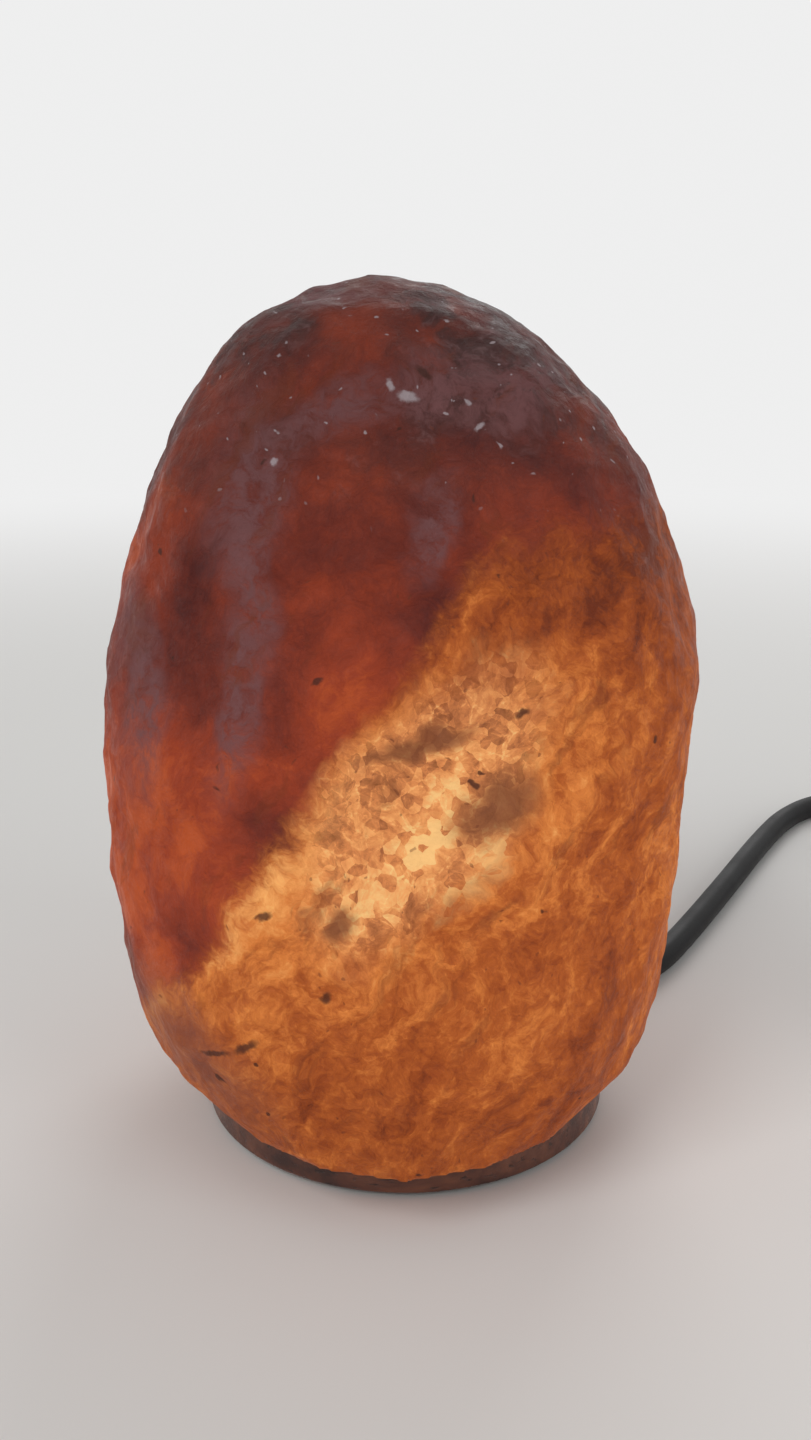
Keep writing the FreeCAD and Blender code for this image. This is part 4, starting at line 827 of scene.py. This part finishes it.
from_bulb = add_node(salt_tree, "ShaderNodeVectorMath", {0: in_salt, 1: BULB_MIDDLE},
                     operation="DISTANCE")
glow_share = ramp(salt_tree, from_bulb.outputs["Value"], 11.5, 5.0, 0.30, 1.0)
sent_out = mixed(salt_tree, glow_share, (0, 0, 0, 1), glow_and_salt_colour)
# The base colour is the same colour, painted glow included, dimmed a little.
glow_painted_base_colour = mixed(salt_tree, 1.0, glow_and_salt_colour, SKIN_SHARE, "MULTIPLY")
salt_tree.links.new(glow_painted_base_colour, salt_shader.inputs["Base Color"])
salt_tree.links.new(sent_out, salt_shader.inputs["Emission Color"])
salt_shader.inputs["Emission Strength"].default_value = GLOW_STRENGTH
salt_shader.inputs["Specular IOR Level"].default_value = SKIN_SHINE
salt_tree.links.new(ramp(salt_tree, flakes, 0.35, 0.65, 0.36, 0.66),
                    salt_shader.inputs["Roughness"])
skin_height = math_of(salt_tree, "MULTIPLY_ADD", facets.outputs["Distance"],
                      FACET_HEIGHT, flakes)
bumped(salt_tree, salt_shader, skin_height, SKIN_BUMP, SKIN_BUMP_STRENGTH)
salt.data.materials.append(salt_material)
print("salt material has", len(salt_tree.nodes), "nodes")

# %% [markdown]
# ## Marks that every surface shares
# Plastic, metal, wood and felt all show two things: a slow change of tone from
# place to place, and a fine grain that catches the light. One node group works
# both out, with long scratches as a third, and each material sets its own
# scales.

# %% The shared group
GRAIN_IN_TONE = 0.35
MOTTLE_IN_TONE = 0.65
SCRATCH_DIRECTION = (0.3, 0.5, 0.7)
SCRATCH_SHAPE = (0.12, 2.4, 2.4)


def build_marks_group():
    """A group that puts out Mottle, Grain and Scratches."""
    group = bpy.data.node_groups.new("surface_marks", "ShaderNodeTree")
    group.interface.new_socket("Vector", in_out="INPUT", socket_type="NodeSocketVector")
    for name, value in (("Mottle Scale", 2.0), ("Grain Scale", 30.0)):
        socket = group.interface.new_socket(name, in_out="INPUT", socket_type="NodeSocketFloat")
        socket.default_value = value
    for name in ("Mottle", "Grain", "Scratches"):
        group.interface.new_socket(name, in_out="OUTPUT", socket_type="NodeSocketFloat")
    given = group.nodes.new("NodeGroupInput").outputs
    result = group.nodes.new("NodeGroupOutput")
    mottle = noise_of(group, given["Vector"], given["Mottle Scale"], 4.0)
    grain_noise = noise_of(group, given["Vector"], given["Grain Scale"], 6.0, 0.6)
    drawn_out = add_node(group, "ShaderNodeMapping",
                         {"Vector": given["Vector"], "Rotation": SCRATCH_DIRECTION,
                          "Scale": SCRATCH_SHAPE}, vector_type="POINT")
    lines = noise_of(group, drawn_out.outputs[0], given["Grain Scale"], 2.0)
    group.links.new(ramp(group, mottle.outputs[0], 0.3, 0.7), result.inputs["Mottle"])
    group.links.new(ramp(group, grain_noise.outputs[0], 0.25, 0.75), result.inputs["Grain"])
    group.links.new(ramp(group, lines.outputs[0], 0.58, 0.72), result.inputs["Scratches"])
    return group


marks_group = build_marks_group()


def marks_in(tree, place, mottle_scale, grain_scale):
    """The shared group's outputs, placed in a material."""
    node = add_node(tree, "ShaderNodeGroup", node_tree=marks_group)
    tree.links.new(place, node.inputs["Vector"])
    node.inputs["Mottle Scale"].default_value = mottle_scale
    node.inputs["Grain Scale"].default_value = grain_scale
    return node.outputs


def finish_of(name, dark, light, rough, scales, bump, metallic=0.0, scratched=0.0, **fixed):
    """A material whose tone, roughness and bump come from the shared marks."""
    material, tree, shader = new_material(name)
    marks = marks_in(tree, place_in_cm(tree), *scales)
    tone = math_of(tree, "MULTIPLY_ADD", marks["Grain"], GRAIN_IN_TONE,
                   math_of(tree, "MULTIPLY", marks["Mottle"], MOTTLE_IN_TONE))
    colour = mixed(tree, tone, (*dark, 1), (*light, 1))
    tree.links.new(colour, shader.inputs["Base Color"])
    worn = math_of(tree, "MULTIPLY_ADD", marks["Scratches"], scratched, tone)
    tree.links.new(ramp(tree, worn, 0.0, 1.2, *rough), shader.inputs["Roughness"])
    bumped(tree, shader, worn, bump * MM)
    shader.inputs["Metallic"].default_value = metallic
    for socket, value in fixed.items():
        shader.inputs[socket.replace("_", " ")].default_value = value
    return material


print("shared marks ready")

# %% [markdown]
# ## Plastic, rubber, metal and the rest
# Moulded plastic has a fine even texture and a soft shine. Rubber is duller.
# Drawn brass and steel show scratches and a slightly cloudy tone. Each finish is
# one call with its own two tones.

# %% One finish for each material slot
finishes = {
    "black_plastic": finish_of("moulded_black", (0.012, 0.012, 0.013), (0.030, 0.030, 0.032),
                               (0.34, 0.50), (0.8, 22.0), 0.05, scratched=0.25),
    "cord_black": finish_of("cord_sheath", (0.010, 0.010, 0.011), (0.026, 0.025, 0.025),
                            (0.42, 0.60), (0.7, 16.0), 0.06, scratched=0.2,
                            Specular_IOR_Level=0.12),
    "steel": finish_of("zinc_steel", (0.42, 0.42, 0.43), (0.66, 0.66, 0.65),
                       (0.24, 0.46), (2.0, 26.0), 0.02, 1.0, 0.5),
    "brass": finish_of("drawn_brass", (0.56, 0.38, 0.15), (0.82, 0.62, 0.30),
                       (0.20, 0.42), (1.6, 24.0), 0.02, 1.0, 0.5),
    "solder": finish_of("dull_solder", (0.36, 0.36, 0.37), (0.60, 0.60, 0.61),
                        (0.35, 0.60), (4.0, 18.0), 0.08, 1.0),
    "nylon": finish_of("grey_nylon", (0.40, 0.40, 0.38), (0.56, 0.56, 0.53),
                       (0.45, 0.62), (2.0, 20.0), 0.04),
    "ceramic": finish_of("glazed_ceramic", (0.70, 0.68, 0.62), (0.88, 0.87, 0.83),
                         (0.28, 0.55), (1.2, 14.0), 0.04),
    "dark_glass": finish_of("black_cap_glass", (0.020, 0.016, 0.018), (0.060, 0.045, 0.050),
                            (0.10, 0.25), (3.0, 12.0), 0.03),
    "live_core": finish_of("brown_core", (0.13, 0.045, 0.016), (0.24, 0.090, 0.035),
                           (0.34, 0.50), (2.0, 20.0), 0.03),
    "neutral_core": finish_of("blue_core", (0.020, 0.085, 0.32), (0.045, 0.17, 0.52),
                              (0.34, 0.50), (2.0, 20.0), 0.03),
    "felt": finish_of("brown_felt", (0.030, 0.020, 0.015), (0.11, 0.080, 0.060),
                      (0.85, 1.0), (5.0, 34.0), 0.35, Sheen_Weight=0.4),
}
print(len(finishes), "finishes")

# %% [markdown]
# ## Stained wood
# The base is turned from a plank, so its grain runs straight across the disc in
# long bands, with short dark pores along it. Stretched noise gives the bands and
# pores, and a little coat on the shader is the wax.

# %% The wood
WAX = 0.25
WAX_ROUGHNESS = 0.25
WOOD_BUMP = 0.25 * MM
BAND_SIZE = (7.0, 0.55, 0.8)
PORE_SIZE = (2.2, 0.10, 0.12)
PORE_SHARE = 0.7
PORE_DEPTH = 0.6
PORE_COLOUR = (0.016, 0.006, 0.004, 1)

wood, wood_tree, wood_shader = new_material("stained_wood")
in_wood = place_in_cm(wood_tree)
along_grain = laid_along(wood_tree, warped(wood_tree, in_wood, 0.5, 0.35), 0.0, BAND_SIZE)
bands = noise_of(wood_tree, along_grain, 1.6, 5.0, 0.6).outputs[0]
pore_place = laid_along(wood_tree, in_wood, 0.0, PORE_SIZE)
pores = ramp(wood_tree, noise_of(wood_tree, pore_place, 1.0, 3.0).outputs[0], 0.60, 0.68)
wood_marks = marks_in(wood_tree, in_wood, 0.6, 20.0)
wood_colour = colours_along(wood_tree, bands, [
    (0.32, (0.036, 0.010, 0.006)), (0.50, (0.095, 0.028, 0.014)),
    (0.66, (0.175, 0.058, 0.027))])
wood_colour = tinted(wood_tree, wood_colour, pores, PORE_SHARE, PORE_COLOUR)
wood_tree.links.new(wood_colour, wood_shader.inputs["Base Color"])
wood_tree.links.new(ramp(wood_tree, wood_marks["Grain"], 0.0, 1.0, 0.34, 0.52),
                    wood_shader.inputs["Roughness"])
wood_height = math_of(wood_tree, "MULTIPLY_ADD", pores, -PORE_DEPTH, bands)
bumped(wood_tree, wood_shader, wood_height, WOOD_BUMP)
wood_shader.inputs["Coat Weight"].default_value = WAX
wood_shader.inputs["Coat Roughness"].default_value = WAX_ROUGHNESS
finishes["wood"] = wood
print("wood material has", len(wood_tree.nodes), "nodes")

# %% [markdown]
# ## Bulb glass and filament
# The bulb's glass is clear, with a trace of handling on it. The filament is the
# only thing that is hotter than the salt looks: tungsten glows yellow-white,
# a little darker at its cool ends.

# %% Glass and filament
FILAMENT_GLOW = 6.0
GLASS_IOR = 1.48
FINE_BUMP = 0.05 * MM
CLEAR_GLASS = (0.97, 0.98, 0.98, 1)
SMEARED_GLASS = (0.90, 0.92, 0.92, 1)
COOL_END = (0.9, 0.28, 0.06, 1)
HOT_MIDDLE = (1.0, 0.74, 0.38, 1)
DARK_TUNGSTEN = (0.30, 0.27, 0.24, 1)
PALE_TUNGSTEN = (0.55, 0.50, 0.44, 1)
TURN_SCALE = 40.0

glass, glass_tree, glass_shader = new_material("clear_glass")
glass_marks = marks_in(glass_tree, place_in_cm(glass_tree), 0.8, 9.0)
glass_tree.links.new(ramp(glass_tree, glass_marks["Mottle"], 0.0, 1.0, 0.0, 0.06),
                     glass_shader.inputs["Roughness"])
glass_tree.links.new(mixed(glass_tree, glass_marks["Mottle"], CLEAR_GLASS, SMEARED_GLASS),
                     glass_shader.inputs["Base Color"])
bumped(glass_tree, glass_shader, glass_marks["Mottle"], FINE_BUMP)
glass_shader.inputs["Transmission Weight"].default_value = 1.0
glass_shader.inputs["IOR"].default_value = GLASS_IOR
finishes["clear_glass"] = glass

hot, hot_tree, hot_shader = new_material("hot_tungsten")
hot_place = place_in_cm(hot_tree)
hot_part = patch(hot_tree, hot_place, (0, 0, 6.45), (0.55, 0.6, 0.6), edge=(1.1, 0.7))
turns = noise_of(hot_tree, hot_place, TURN_SCALE, 1.0).outputs[0]
hot_colour = mixed(hot_tree, hot_part, COOL_END, HOT_MIDDLE)
hot_tree.links.new(hot_colour, hot_shader.inputs["Emission Color"])
hot_tree.links.new(mixed(hot_tree, turns, DARK_TUNGSTEN, PALE_TUNGSTEN),
                   hot_shader.inputs["Base Color"])
hot_shader.inputs["Emission Strength"].default_value = FILAMENT_GLOW
hot_shader.inputs["Metallic"].default_value = 1.0
bumped(hot_tree, hot_shader, turns, FINE_BUMP)
finishes["filament_metal"] = hot
finishes["salt"] = salt_material
print("glass and filament")

# %% [markdown]
# ## Put the finishes on
# The record says which material slot each CAD node has, so one loop dresses them
# all. The cords get the sheath.

# %% Dress every node
for part in frame["record"]["subparts"]:
    for material_slot in nodes[part["node"]].material_slots:
        material_slot.material = finishes[part["material_slot"]]
for cord in (lead, long_cord):
    cord.data.materials.append(finishes["cord_black"])
